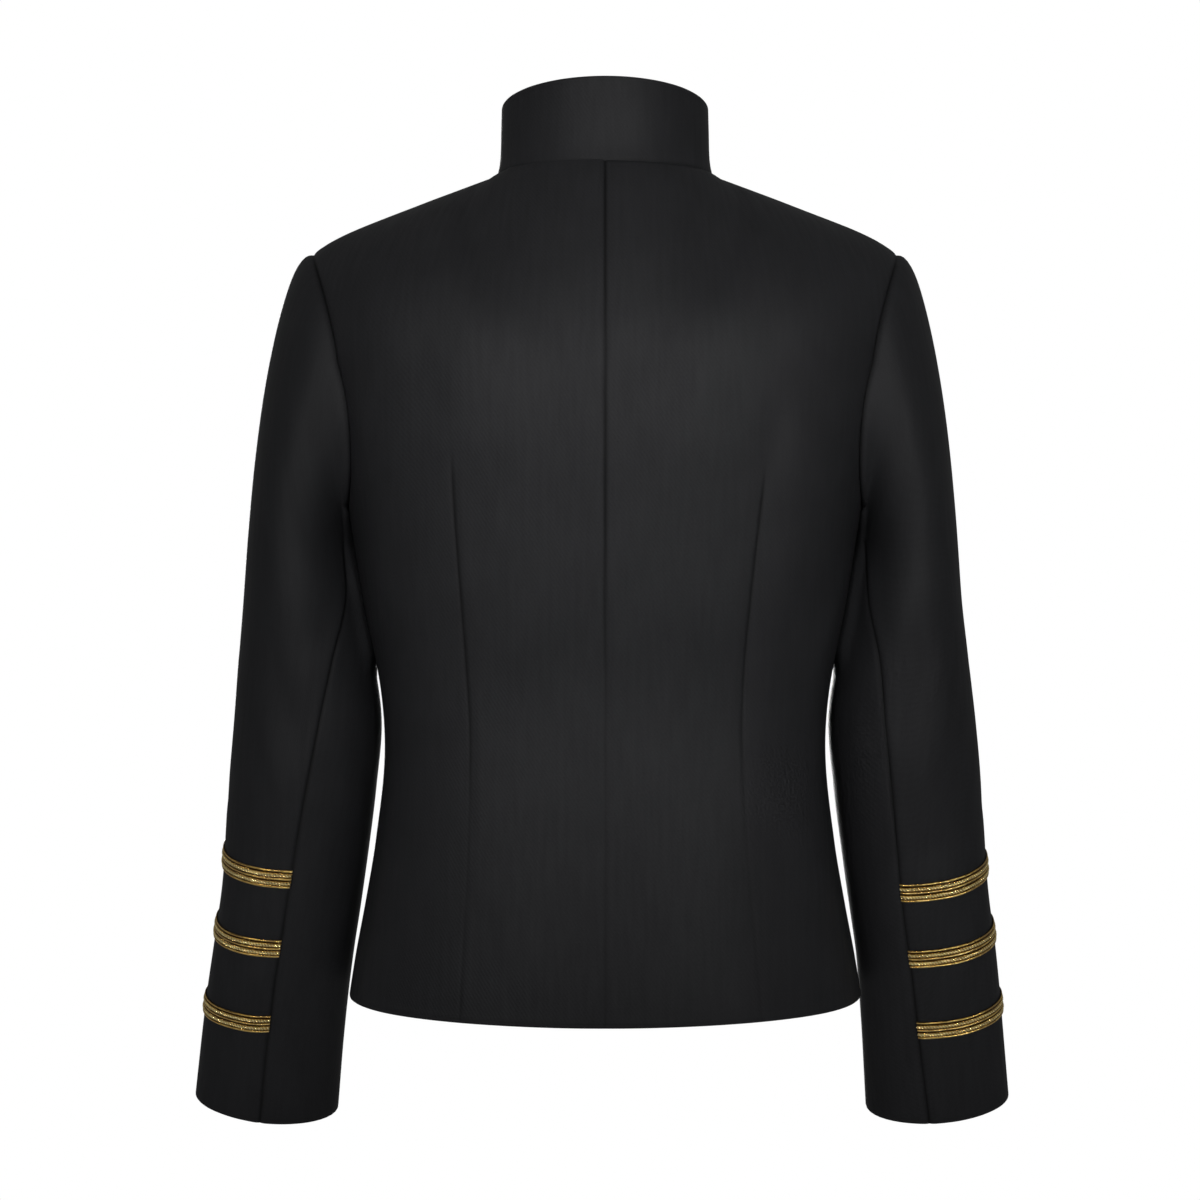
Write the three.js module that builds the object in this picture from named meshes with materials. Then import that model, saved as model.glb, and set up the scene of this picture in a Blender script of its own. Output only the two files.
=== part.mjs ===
// A short fitted jacket with a stand collar, a lapped double-breasted front, two-piece set-in sleeves and three
// gold braids above each cuff, filled out as a wearer holds it.
//
// Millimetres. +Z is up, -Y is the jacket's front, and +X is the wearer's left. The origin is on the neck's
// axis, level with the shoulder ends of the collar seam, where the wearer's neck and shoulders carry the jacket.
//
// Each piece of cloth is a grid of points on its outer face. Pieces that are sewn together share the points of
// their seam, where each is cut back by half of the seam gap, and the wall is grown inwards along the normals.
import * as THREE from "three";

// --- Driving dimensions -----------------------------------------------------------------------------------

const CLOTH_WALL = 2;
const COLLAR_WALL = 2.6;
const SEAM_GAP = 0.3;

const UNDERARM_Z = -234;
const BLADE_Z = -134; // above this level the panels curve in to the shoulders and the neck
const HEM_SIDE_Z = -566;
const HEM_DIP = 9; // how much lower the hem is at the centre of the back and the front

// The body's sections: half its width, and how far it reaches forwards and backwards from the side seams.
const BODY_SECTIONS = [
  { z: -580, halfWidth: 179, front: 124, back: 121 },
  { z: -540, halfWidth: 172.5, front: 120, back: 117 },
  { z: -505, halfWidth: 166, front: 115, back: 111 },
  { z: -463, halfWidth: 159, front: 111, back: 103 },
  { z: -405, halfWidth: 153, front: 109, back: 94 },
  { z: -358, halfWidth: 155.5, front: 114, back: 94 },
  { z: -295, halfWidth: 167.5, front: 129, back: 104 },
  { z: -234, halfWidth: 177.5, front: 136, back: 112 },
  { z: -186, halfWidth: 187, front: 131, back: 118 },
  { z: -134, halfWidth: 197, front: 114, back: 119 },
  { z: -100, halfWidth: 204, front: 92, back: 115 },
];
const BACK_POWER = 2.6; // how square the sections are behind the side seams
const FRONT_POWER = 2.25;

// The lower armhole: at each level, how far behind and before the side seam its two edges lie.
const ARMHOLE = [
  { z: -234, back: 0, front: 0 },
  { z: -232.6, back: 16, front: 18 },
  { z: -228, back: 31, front: 34 },
  { z: -220, back: 43, front: 47 },
  { z: -208, back: 53, front: 57 },
  { z: -193, back: 60, front: 64 },
  { z: -175, back: 64.5, front: 69 },
  { z: -155, back: 66, front: 71 },
  { z: -134, back: 64, front: 69 },
];

// The neckline is an ellipse in plan. It is level behind the neck and falls to the throat.
const NECK_HALF_WIDTH = 74.5;
const NECK_HALF_DEPTH = 66;
const NECK_CENTRE_Y = 3;
const NECK_BACK_Z = 2;
const NECK_SIDE_Z = 1;
const NECK_FRONT_Z = -60;
const NECK_FALL_POWER = 1.35;

// The shoulder seam runs from the neckline to the sleeve head.
const SHOULDER_TIP = new THREE.Vector3(203.5, -2, -53.5);
const SHOULDER_ROUNDING = 6; // how far its last part drops below a straight line
const SHOULDER_ROUNDING_POWER = 10;

// How steeply the panels rise into the neckline at the nape, the throat and the sides, and over the shoulder.
const NAPE_RISE = 1.54;
const THROAT_RISE = 1.44;
const SIDE_NECK_RISE = 0.45;
const RIDGE_RISE = 0.1;
const RIDGE_TURN = [0.5, 1.6]; // between these parts of the neckline's width, the slope turns from one to the other
const ROUND_PULL = 1.6; // the pull of a curve that turns like a quarter of an ellipse

// How far the fronts lap past the centre, and how far apart the lap holds them.
const LAP_SECTIONS = [
  { z: -580, reach: 56 },
  { z: -405, reach: 52 },
  { z: -234, reach: 66 },
  { z: -134, reach: 68 },
];
const LAP_CORNER_Z = -84;
const LAP_TOP_POWER = 1.5; // how the lap's top edge falls from the throat to its corner
const LAP_LIFT = 2.8;
const LAP_EASE = 34; // half the width over which one front rises over the other

// The collar's height at the centre back, the sides and the throat, and how its wall leans in.
const COLLAR_BACK_HEIGHT = 56;
const COLLAR_SIDE_HEIGHT = 45;
const COLLAR_FRONT_HEIGHT = 45;
const COLLAR_END_DROP = 4; // how far its two front corners are rounded off
const COLLAR_LEAN = [
  { share: 0, inset: 0 },
  { share: 0.12, inset: 1.5 },
  { share: 0.3, inset: 2.4 },
  { share: 0.65, inset: 2.8 },
  { share: 1, inset: 3.2 },
];

// The sleeve below the armhole: the centre of each section, its half sizes across and from front to back, where
// the seam at the back of the sleeve lies, in degrees from its rearmost line towards the outside, and how much
// further round both seams lie on an arm that is held turned.
const SLEEVE_SECTIONS = [
  { z: -262, x: 213.5, y: -4, halfWidth: 36.2, halfDepth: 57, backSeam: -50, turn: 0 },
  { z: -295, x: 211.5, y: -4, halfWidth: 40.6, halfDepth: 55, backSeam: -44, turn: 7 },
  { z: -335, x: 209.8, y: -5, halfWidth: 46, halfDepth: 51, backSeam: -27, turn: 3 },
  { z: -378, x: 208.2, y: -8, halfWidth: 50.5, halfDepth: 47, backSeam: -14, turn: -5 },
  { z: -420, x: 212, y: -12, halfWidth: 50.6, halfDepth: 43, backSeam: -8, turn: -11 },
  { z: -463, x: 217, y: -19, halfWidth: 49.8, halfDepth: 40, backSeam: -3.5, turn: -17 },
  { z: -505, x: 222.4, y: -27, halfWidth: 48.8, halfDepth: 37.5, backSeam: 0, turn: -22 },
  { z: -547, x: 229.2, y: -37, halfWidth: 48.9, halfDepth: 35, backSeam: 1.5, turn: -24 },
  { z: -600, x: 236.3, y: -52, halfWidth: 49.7, halfDepth: 32, backSeam: 2.5, turn: -24 },
  { z: -656, x: 242.7, y: -68.5, halfWidth: 51, halfDepth: 30, backSeam: 3, turn: -20 },
];
const SLEEVE_POWER = 2.15;
const FRONT_SEAM = 210;
const CUFF_SLANT = 4; // how much longer the sleeve is behind than at its sides

// How each arm is held: whether it is turned, how far it swings out at the cuff, how full it leaves the head of
// its sleeve, and how much flatter it lies outside above the elbow.
const ARM_POSE = {
  left: { turned: 0, swing: 2, fullness: 1.05, flatter: 0 },
  right: { turned: 1, swing: -2, fullness: 0.97, flatter: 3.2 },
};
const FLATTER_FROM_Z = -400;
const FLATTER_TO_Z = -295;
const SWING_FROM_Z = -520;
const CUFF_Z = -656;

// How the sleeve head leaves the armhole and runs into the sleeve, at its lowest and its highest point.
const HEAD_START = { low: new THREE.Vector3(17, 0, -14), high: new THREE.Vector3(78, 0, -30) };
const HEAD_BULGE = 7; // how far the head swells to the front and the back
const HEAD_END_PULL = { low: 28, high: 200 };

// The gold braids: their centres above the cuff edge at the back of the sleeve, how much lower they lie outside,
// how far they lie off the cloth, and the rise of their ribs across their width.
const BRAID_HEIGHTS = { left: [79, 138, 190.5], right: [74.5, 130.5, 180.5] };
const BRAID_DROP = { left: 6, right: 1 };
const BRAID_WIDTH = 13;
const BRAID_GAP = 0.45; // wider than a seam's, because the cloth bends under a braid
const BRAID_RIBS = [
  { across: -0.5, rise: 0.7 },
  { across: -0.25, rise: 1.7 },
  { across: 0, rise: 0.9 },
  { across: 0.25, rise: 1.7 },
  { across: 0.5, rise: 0.7 },
];

// The domed buttons, in two columns on the front that laps over.
const BUTTON_RADIUS = 8.5;
const BUTTON_LEVELS = [-142, -202, -262, -322, -382];
const BUTTON_OFFSET = 40; // from the centre front
const BUTTON_PROFILE = [
  { radius: 0, height: 0 },
  { radius: 0.3, height: 0 },
  { radius: 0.3, height: 2.2 },
  { radius: 0.94, height: 2.4 },
  { radius: 1, height: 3.2 },
  { radius: 0.72, height: 5.8 },
  { radius: 0, height: 7 },
];
const BUTTON_SIDES = 12;
const BUTTON_START = 500; // a distance in front of the jacket, from which each foot's place is found

// Where a piece's normal is further than this from its seam's shared normal, the seam is a fold.
const FOLD_COSINE = 0.5;
const CORNER_COSINE = 0.7; // an edge that turns more sharply than this has a corner
const HALVINGS = 24; // how closely a level is found on a curve

// How finely the pieces are divided.
const NECK_STEPS = 6;
const SHOULDER_STEPS = 7;
const LAP_STEPS = 4;
const BODY_STEPS = 10; // from the hem to the underarm
const CROWN_STEPS = 6; // from the blade level to the shoulder
const HEAD_STEPS = 7;
const BACK_SEAM_STEP = 4; // the armhole point, counted from the underarm, where the sleeve's back seam starts
const FRONT_SEAM_STEP = 4;

const CLOTH = new THREE.MeshStandardMaterial({ color: 0x1d1e21, roughness: 0.8, metalness: 0 });
const BRAID = new THREE.MeshStandardMaterial({ color: 0xb08a2e, roughness: 0.35, metalness: 0.9 });
const METAL = new THREE.MeshStandardMaterial({ color: 0xb8923a, roughness: 0.3, metalness: 1 });

// --- Curves -----------------------------------------------------------------------------------------------

const mix = (a, b, share) => a + (b - a) * share;

const radians = THREE.MathUtils.degToRad;

function smooth(value, from, to) {
  const share = THREE.MathUtils.clamp((value - from) / (to - from), 0, 1);
  return share * share * (3 - 2 * share);
}

// The weights of a cubic curve's start, start pull, end and end pull.
function cubicWeights(share) {
  const rest = 1 - share;
  return [
    (1 + 2 * share) * rest * rest,
    share * rest * rest,
    share * share * (3 - 2 * share),
    -share * share * rest,
  ];
}

// A point on the cubic curve between two points, with the pull that it has at each.
function cubicPoint(start, startPull, end, endPull, share) {
  const [a, b, c, d] = cubicWeights(share);
  return new THREE.Vector3()
    .addScaledVector(start, a)
    .addScaledVector(startPull, b)
    .addScaledVector(end, c)
    .addScaledVector(endPull, d);
}

// A table's columns at a value of its key, on smooth curves through its rows.
function readTable(rows, key, value) {
  const rising = rows[0][key] < rows[1][key] ? rows : [...rows].reverse();
  const last = rising.length - 1;
  const found = rising.findIndex((row) => row[key] > value);
  const index = found < 0 ? last - 1 : Math.max(found - 1, 0);
  const slope = (row, column) => {
    const before = rising[Math.max(row - 1, 0)];
    const after = rising[Math.min(row + 1, last)];
    return (after[column] - before[column]) / (after[key] - before[key]);
  };
  const low = rising[index];
  const high = rising[index + 1];
  const span = high[key] - low[key];
  const share = THREE.MathUtils.clamp((value - low[key]) / span, 0, 1);
  const [a, b, c, d] = cubicWeights(share);
  const read = {};
  for (const column of Object.keys(low)) {
    read[column] =
      a * low[column] +
      b * span * slope(index, column) +
      c * high[column] +
      d * span * slope(index + 1, column);
  }
  return read;
}

// --- The body's form --------------------------------------------------------------------------------------

// The depth and squareness of the body's section on the side that an angle from the centre back points to.
function sideOf(section, angle) {
  return Math.cos(angle) > 0
    ? { depth: section.back, power: BACK_POWER }
    : { depth: section.front, power: FRONT_POWER };
}

// A point on the body at a level, at an angle from the centre back round to the wearer's left.
function bodyPoint(angle, z) {
  const section = readTable(BODY_SECTIONS, "z", z);
  const { depth, power } = sideOf(section, angle);
  const across = Math.abs(Math.sin(angle)) / section.halfWidth;
  const along = Math.abs(Math.cos(angle)) / depth;
  const radius = (across ** power + along ** power) ** (-1 / power);
  return new THREE.Vector3(radius * Math.sin(angle), radius * Math.cos(angle), z);
}

// The angle at which the armhole's edge lies at a level.
function armholeAngle(isFront, z) {
  const reach = readTable(ARMHOLE, "z", z)[isFront ? "front" : "back"];
  const section = readTable(BODY_SECTIONS, "z", z);
  const { depth, power } = sideOf(section, isFront ? Math.PI : 0);
  const x = section.halfWidth * (1 - (reach / depth) ** power) ** (1 / power);
  return Math.atan2(x, isFront ? -reach : reach);
}

// A point of the neckline, at an angle from the centre back.
function neckPoint(angle) {
  const forward = Math.max(-Math.cos(angle), 0);
  const backward = Math.max(Math.cos(angle), 0);
  return new THREE.Vector3(
    NECK_HALF_WIDTH * Math.sin(angle),
    NECK_CENTRE_Y + NECK_HALF_DEPTH * Math.cos(angle),
    NECK_SIDE_Z +
      (NECK_BACK_Z - NECK_SIDE_Z) * backward +
      (NECK_FRONT_Z - NECK_SIDE_Z) * forward ** NECK_FALL_POWER,
  );
}

// A point of the shoulder seam, as a share of the way out from the neck.
function shoulderPoint(share) {
  const start = neckPoint(Math.PI / 2);
  const point = start.clone().lerp(SHOULDER_TIP, share);
  point.z += SHOULDER_ROUNDING * (share - share ** SHOULDER_ROUNDING_POWER);
  return point;
}

// --- The pieces of cloth, as grids of points --------------------------------------------------------------

// A body panel is half of the back or of the front. share runs across it, from the centre to the side seam and
// the armhole. The share at which the neckline ends and the shoulder seam starts:
const NECK_SHARE = NECK_STEPS / (NECK_STEPS + SHOULDER_STEPS);

// The angle of a body panel's column at a level.
function columnAngle(isFront, share, z) {
  const start = isFront ? Math.PI : 0;
  const end = z > UNDERARM_Z ? armholeAngle(isFront, z) : Math.PI / 2;
  return mix(start, Math.PI / 2, share) + (end - Math.PI / 2) * share * share;
}

// The share at which a front's lap ends at a level: the inverse of columnAngle.
function lapShare(z) {
  const { reach } = readTable(LAP_SECTIONS, "z", z);
  const section = readTable(BODY_SECTIONS, "z", z);
  const y = section.front * (1 - (reach / section.halfWidth) ** FRONT_POWER) ** (1 / FRONT_POWER);
  const square = (z > UNDERARM_Z ? armholeAngle(true, z) : Math.PI / 2) - Math.PI / 2;
  const linear = -Math.PI / 2;
  const rest = Math.atan2(reach, y);
  return (2 * rest) / (-linear + Math.sqrt(linear * linear - 4 * square * rest));
}

// A column's curve above the blade level, up to the neckline or over to the shoulder seam. It runs into the
// neckline square to it, and into the shoulder seam from straight behind or before it.
function crownCurve(isFront, share) {
  const angle = columnAngle(isFront, share, BLADE_Z);
  const onNeck = Math.min(share / NECK_SHARE, 1);
  const neckAngle = mix(isFront ? Math.PI : 0, Math.PI / 2, onNeck);
  const end = share < NECK_SHARE ? neckPoint(neckAngle) : shoulderPoint((share - NECK_SHARE) / (1 - NECK_SHARE));
  const start = bodyPoint(angle, BLADE_Z);
  const startPull = bodyPoint(angle, BLADE_Z + 1)
    .sub(start)
    .multiplyScalar((end.z - BLADE_Z) * mix(1, ROUND_PULL, onNeck ** 2));
  const rise = mix(isFront ? THROAT_RISE : NAPE_RISE, SIDE_NECK_RISE, onNeck ** 2);
  const toNeck = new THREE.Vector3(-Math.sin(neckAngle), -Math.cos(neckAngle), rise).normalize();
  const toRidge = new THREE.Vector3(0, isFront ? 1 : -1, RIDGE_RISE);
  const turned = smooth(share, ...RIDGE_TURN.map((part) => part * NECK_SHARE));
  const endPull = toNeck
    .lerp(toRidge, turned)
    .setLength(mix(start.distanceTo(end), ROUND_PULL * Math.abs(end.y - start.y), turned));
  return (part) => cubicPoint(start, startPull, end, endPull, part);
}

// The part of a rising curve at which it reaches a level.
function partAtLevel(curve, z) {
  let [low, high] = [0, 1];
  for (let i = 0; i < HALVINGS; i++) {
    const middle = (low + high) / 2;
    [low, high] = curve(middle).z < z ? [middle, high] : [low, middle];
  }
  return (low + high) / 2;
}

// The levels of a column's points up to the blade level.
function columnLevels(plan) {
  const hem = HEM_SIDE_Z - HEM_DIP * Math.abs(Math.cos(plan));
  const levels = [];
  for (let k = 0; k < BODY_STEPS; k++) {
    levels.push(mix(hem, UNDERARM_Z, k / BODY_STEPS));
  }
  return [...levels, ...ARMHOLE.map(({ z }) => z)];
}

// The points of one column between the centre and the side, from the hem up.
function columnPoints(isFront, share) {
  const levels = columnLevels(columnAngle(isFront, share, HEM_SIDE_Z));
  const points = levels.map((z) => bodyPoint(columnAngle(isFront, share, z), z));
  const curve = crownCurve(isFront, share);
  for (let k = 1; k <= CROWN_STEPS; k++) {
    points.push(curve(k / CROWN_STEPS));
  }
  return points;
}

// The points of one column of a front's lap, on the wearer's right of the centre: the other front's form,
// mirrored. past runs from the centre to the lap's edge.
function lapPoints(past) {
  const levels = columnLevels(columnAngle(true, past * lapShare(HEM_SIDE_Z), HEM_SIDE_Z));
  const points = levels.map((z) => bodyPoint(columnAngle(true, past * lapShare(z), z), z));
  const curve = crownCurve(true, past * lapShare(BLADE_Z));
  const top = partAtLevel(curve, mix(NECK_FRONT_Z, LAP_CORNER_Z, past ** LAP_TOP_POWER));
  for (let k = 1; k <= CROWN_STEPS; k++) {
    points.push(curve((top * k) / CROWN_STEPS));
  }
  return points.map(({ x, y, z }) => new THREE.Vector3(-x, y, z));
}

// The points of a body panel on the wearer's left: rows from the hem up, each from the centre to the side.
function panelGrid(isFront) {
  const columns = [];
  for (let i = LAP_STEPS; isFront && i > 0; i--) {
    columns.push(lapPoints(i / LAP_STEPS));
  }
  const steps = NECK_STEPS + SHOULDER_STEPS;
  for (let i = 0; i <= steps; i++) {
    columns.push(columnPoints(isFront, i / steps));
  }
  return columns[0].map((_, row) => columns.map((column) => column[row]));
}

// The armhole's points from the underarm up the back, over the shoulder and down the front.
function armholePoints() {
  const up = (grid) => grid.slice(BODY_STEPS).map((row) => row.at(-1));
  return [...up(panelGrid(false)), ...up(panelGrid(true)).reverse().slice(1)];
}

// How far each front is lifted off the body's form where the two lap: the right one over, the left one under.
const overLift = (point) => LAP_LIFT * smooth(point.x, -LAP_EASE, LAP_EASE);
const underLift = (point) => -LAP_LIFT * smooth(-point.x, -LAP_EASE, LAP_EASE);

const mirrored = (grid) => grid.map((row) => row.map(({ x, y, z }) => new THREE.Vector3(-x, y, z)));

// A sleeve's section at one row of its table: its centre, its axes and its half sizes.
function sleeveSection(side, index) {
  const { turned, swing, flatter } = ARM_POSE[side];
  const flattened = (z) => (flatter / 2) * smooth(z, FLATTER_FROM_Z, FLATTER_TO_Z);
  const centre = ({ x, y, z }) => {
    const out = swing * (1 - smooth(z, CUFF_Z, SWING_FROM_Z)) - flattened(z);
    return new THREE.Vector3(x + out, y, z);
  };
  const row = SLEEVE_SECTIONS[index];
  const before = SLEEVE_SECTIONS[Math.max(index - 1, 0)];
  const after = SLEEVE_SECTIONS[Math.min(index + 1, SLEEVE_SECTIONS.length - 1)];
  const down = centre(after).sub(centre(before)).normalize();
  const outward = new THREE.Vector3(1, 0, 0).addScaledVector(down, -down.x).normalize();
  const backward = new THREE.Vector3().crossVectors(outward, down);
  return {
    row: { ...row, halfWidth: row.halfWidth - flattened(row.z) },
    down,
    outward,
    backward,
    centre: centre(row),
    turn: turned * row.turn,
  };
}

// A point of a sleeve's section, at an angle in degrees from its rearmost line towards the outside.
function sleevePoint(section, degrees, slant) {
  const { row, centre, down, outward, backward } = section;
  const angle = radians(degrees);
  const across = Math.abs(Math.sin(angle)) / row.halfWidth;
  const along = Math.abs(Math.cos(angle)) / row.halfDepth;
  const radius = (across ** SLEEVE_POWER + along ** SLEEVE_POWER) ** (-1 / SLEEVE_POWER);
  return centre
    .clone()
    .addScaledVector(outward, radius * Math.sin(angle))
    .addScaledVector(backward, radius * Math.cos(angle))
    .addScaledVector(down, slant * Math.cos(angle));
}

// A point of the sleeve head, on its line from an armhole point to the first section, where it runs on towards
// the next. degrees says where on the armhole the line starts: -90 is lowest, 90 highest.
function headPoint(start, end, next, degrees, fullness, share) {
  const height = (1 + Math.sin(radians(degrees))) / 2;
  const startPull = HEAD_START.low.clone().lerp(HEAD_START.high, height);
  startPull.x *= mix(1, fullness, height);
  startPull.y += HEAD_BULGE * Math.cos(radians(degrees));
  const endPull = next.clone().sub(end).setLength(mix(HEAD_END_PULL.low, HEAD_END_PULL.high, height));
  return cubicPoint(start, startPull, end, endPull, share);
}

// The angles of a sleeve piece's two edges on a section.
function sleeveEdges(section, isUnder) {
  const back = section.row.backSeam + section.turn;
  const front = FRONT_SEAM + section.turn;
  return isUnder ? [front, back + 360] : [back, front];
}

// The points of a sleeve piece on the wearer's left: rows from the armhole down, each from seam to seam.
function sleeveGrid(side, isUnder) {
  const ring = armholePoints();
  const around = ring.length - 1;
  const frontStep = around - FRONT_SEAM_STEP;
  const from = isUnder ? frontStep : BACK_SEAM_STEP;
  const to = isUnder ? around + BACK_SEAM_STEP : frontStep;
  const columns = [];
  for (let i = from; i <= to; i++) {
    columns.push({ start: ring[i % around], degrees: -90 + (360 * i) / around, share: (i - from) / (to - from) });
  }
  const [first, second] = [0, 1].map((index) => sleeveSection(side, index));
  const grid = [];
  for (let k = 0; k < HEAD_STEPS; k++) {
    grid.push(
      columns.map(({ start, degrees, share }) => {
        const [end, next] = [first, second].map((section) =>
          sleevePoint(section, mix(...sleeveEdges(section, isUnder), share), 0),
        );
        return headPoint(start, end, next, degrees, ARM_POSE[side].fullness, k / HEAD_STEPS);
      }),
    );
  }
  SLEEVE_SECTIONS.forEach((row, index) => {
    const slant = row.z === CUFF_Z ? CUFF_SLANT : 0;
    const section = sleeveSection(side, index);
    const edges = sleeveEdges(section, isUnder);
    grid.push(columns.map(({ share }) => sleevePoint(section, mix(...edges, share), slant)));
  });
  return grid;
}

// The points of the collar: rows from the neckline up, each from one front end round the back to the other.
function collarGrid() {
  const steps = 4 * NECK_STEPS;
  return COLLAR_LEAN.map(({ share, inset }) => {
    const row = [];
    for (let i = 0; i <= steps; i++) {
      const angle = mix(-Math.PI, Math.PI, i / steps);
      const point = neckPoint(angle);
      const forward = Math.max(-Math.cos(angle), 0);
      const backward = Math.max(Math.cos(angle), 0);
      const height =
        COLLAR_SIDE_HEIGHT +
        (COLLAR_BACK_HEIGHT - COLLAR_SIDE_HEIGHT) * backward +
        (COLLAR_FRONT_HEIGHT - COLLAR_SIDE_HEIGHT) * forward;
      const drop = i === 0 || i === steps ? COLLAR_END_DROP * share ** 3 : 0;
      const inward = new THREE.Vector3(-Math.sin(angle), -Math.cos(angle), 0);
      row.push(point.addScaledVector(inward, inset).setZ(point.z + height * share - drop));
    }
    return row;
  });
}

// --- Walls ------------------------------------------------------------------------------------------------

// The outward normal at each point of a grid. turn is -1 where its rows and columns run the other way round.
function gridNormals(grid, turn) {
  const clampRow = (row) => grid[THREE.MathUtils.clamp(row, 0, grid.length - 1)];
  return grid.map((points, row) =>
    points.map((_, column) => {
      const along = points[Math.min(column + 1, points.length - 1)]
        .clone()
        .sub(points[Math.max(column - 1, 0)]);
      const up = clampRow(row + 1)[column].clone().sub(clampRow(row - 1)[column]);
      return along.cross(up).multiplyScalar(turn).normalize();
    }),
  );
}

const pointKey = (point) => point.toArray().map((value) => Math.round(value * 1000)).join();

// At each point, the mean normal of the body's pieces, the sleeve's and the collar's there, and the mean of all.
function seamNormals(pieces) {
  const seams = new Map();
  for (const { grid, normals, group } of pieces) {
    grid.forEach((points, row) =>
      points.forEach((point, column) => {
        const key = pointKey(point);
        const seam = seams.get(key) ?? {};
        seam[group] ??= new THREE.Vector3();
        seam[group].add(normals[row][column]);
        seams.set(key, seam);
      }),
    );
  }
  for (const seam of seams.values()) {
    const means = Object.values(seam).map((sum) => sum.normalize());
    seam.all = means.reduce((sum, mean) => sum.add(mean), new THREE.Vector3()).normalize();
    seam.isFold = means.some((mean) => mean.dot(seam.all) < FOLD_COSINE);
  }
  return seams;
}

// The direction in a piece's surface that leads away from its edge, square to the edge and to the wall.
function awayFromEdge(along, wallDirection, inside) {
  const away = along.clone().cross(wallDirection).normalize();
  return away.dot(inside) < 0 ? away.negate() : away;
}

// How a point of an edge stands back from it, by half of the seam gap. beside gives the grid's point a step
// along the edge and a step in from it. At a corner, the point stands back from both of its sides.
function standBack(point, direction, beside) {
  const sides = [-1, 1].map((step) => ({
    along: beside(step, 0).clone().sub(point).multiplyScalar(step).normalize(),
    inside: beside(step, 1).clone().sub(point),
  }));
  const [before, after] = sides;
  const isCorner = before.along.dot(after.along) < CORNER_COSINE;
  const smoothed = { along: before.along.clone().add(after.along), inside: before.inside.clone().add(after.inside) };
  return (isCorner ? sides : [smoothed]).reduce(
    (shift, { along, inside }) => shift.addScaledVector(awayFromEdge(along, direction, inside), SEAM_GAP / 2),
    new THREE.Vector3(),
  );
}

// The outer and the inner points of a piece's wall. At a seam, the pieces that meet share the wall's direction,
// and each stands back from it. Where body and sleeve meet in a fold, each keeps to its own side.
function wallPoints({ grid, normals, group, wall, freeRow, lift = () => 0 }, seams) {
  const lastRow = grid.length - 1;
  const lastColumn = grid[0].length - 1;
  const at = (row, column) =>
    grid[THREE.MathUtils.clamp(row, 0, lastRow)][THREE.MathUtils.clamp(column, 0, lastColumn)];
  const outer = [];
  const inner = [];
  grid.forEach((points, row) => {
    outer.push([]);
    inner.push([]);
    points.forEach((point, column) => {
      const seam = seams.get(pointKey(point));
      const direction = seam.isFold ? seam[group] : seam.all;
      const depth = wall / Math.max(direction.dot(normals[row][column]), FOLD_COSINE);
      const place = point.clone().addScaledVector(direction, lift(point));
      if (row !== freeRow && (row === 0 || row === lastRow)) {
        const inwards = row === 0 ? 1 : -1;
        place.add(standBack(point, direction, (step, deep) => at(row + inwards * deep, column + step)));
      }
      if (column === 0 || column === lastColumn) {
        const inwards = column === 0 ? 1 : -1;
        place.add(standBack(point, direction, (step, deep) => at(row + step, column + inwards * deep)));
      }
      if (seam.isFold) {
        place.addScaledVector(direction, -SEAM_GAP / 2);
      }
      outer.at(-1).push(place);
      inner.at(-1).push(place.clone().addScaledVector(direction, -depth));
    });
  });
  return { outer, inner };
}

// A closed solid through rings of points: each ring is joined to the next, and the two ends are capped.
function ringsGeometry(rings) {
  const points = rings.flat();
  const size = rings[0].length;
  const triangles = [];
  for (let ring = 0; ring < rings.length - 1; ring++) {
    for (let i = 0; i < size; i++) {
      const a = ring * size + i;
      const b = ring * size + ((i + 1) % size);
      triangles.push(a, b, b + size, a, b + size, a + size);
    }
  }
  const last = (rings.length - 1) * size;
  for (let i = 1; i < size - 1; i++) {
    triangles.push(0, i + 1, i, last, last + i, last + i + 1);
  }
  return closedGeometry(points, triangles);
}

// A closed solid between two grids of points, with a strip along each of their edges.
function wallGeometry({ outer, inner }) {
  const rows = outer.length;
  const columns = outer[0].length;
  const points = [...outer.flat(), ...inner.flat()];
  const far = rows * columns;
  const at = (row, column) => row * columns + column;
  const triangles = [];
  const quad = (a, b, c, d) => {
    const isShort = points[a].distanceTo(points[c]) < points[b].distanceTo(points[d]);
    triangles.push(...(isShort ? [a, b, c, a, c, d] : [b, c, d, b, d, a]));
  };
  for (let row = 0; row < rows - 1; row++) {
    for (let column = 0; column < columns - 1; column++) {
      const [a, b, c, d] = [at(row, column), at(row, column + 1), at(row + 1, column + 1), at(row + 1, column)];
      quad(a, b, c, d);
      quad(far + d, far + c, far + b, far + a);
    }
  }
  for (let column = 0; column < columns - 1; column++) {
    for (const [a, b] of [
      [at(0, column + 1), at(0, column)],
      [at(rows - 1, column), at(rows - 1, column + 1)],
    ]) {
      quad(a, b, far + b, far + a);
    }
  }
  for (let row = 0; row < rows - 1; row++) {
    for (const [a, b] of [
      [at(row, 0), at(row + 1, 0)],
      [at(row + 1, columns - 1), at(row, columns - 1)],
    ]) {
      quad(a, b, far + b, far + a);
    }
  }
  return closedGeometry(points, triangles);
}

// A geometry from points and triangles, turned so that its faces point out.
function closedGeometry(points, triangles) {
  const [edge, side] = [new THREE.Vector3(), new THREE.Vector3()];
  let volume = 0;
  for (let i = 0; i < triangles.length; i += 3) {
    const [a, b, c] = triangles.slice(i, i + 3).map((index) => points[index]);
    volume += edge.copy(a).dot(side.copy(b).cross(c));
  }
  const geometry = new THREE.BufferGeometry();
  geometry.setAttribute("position", new THREE.Float32BufferAttribute(points.flatMap((p) => p.toArray()), 3));
  geometry.setIndex(volume < 0 ? [...triangles].reverse() : triangles);
  return geometry;
}

// --- The parts --------------------------------------------------------------------------------------------

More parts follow.
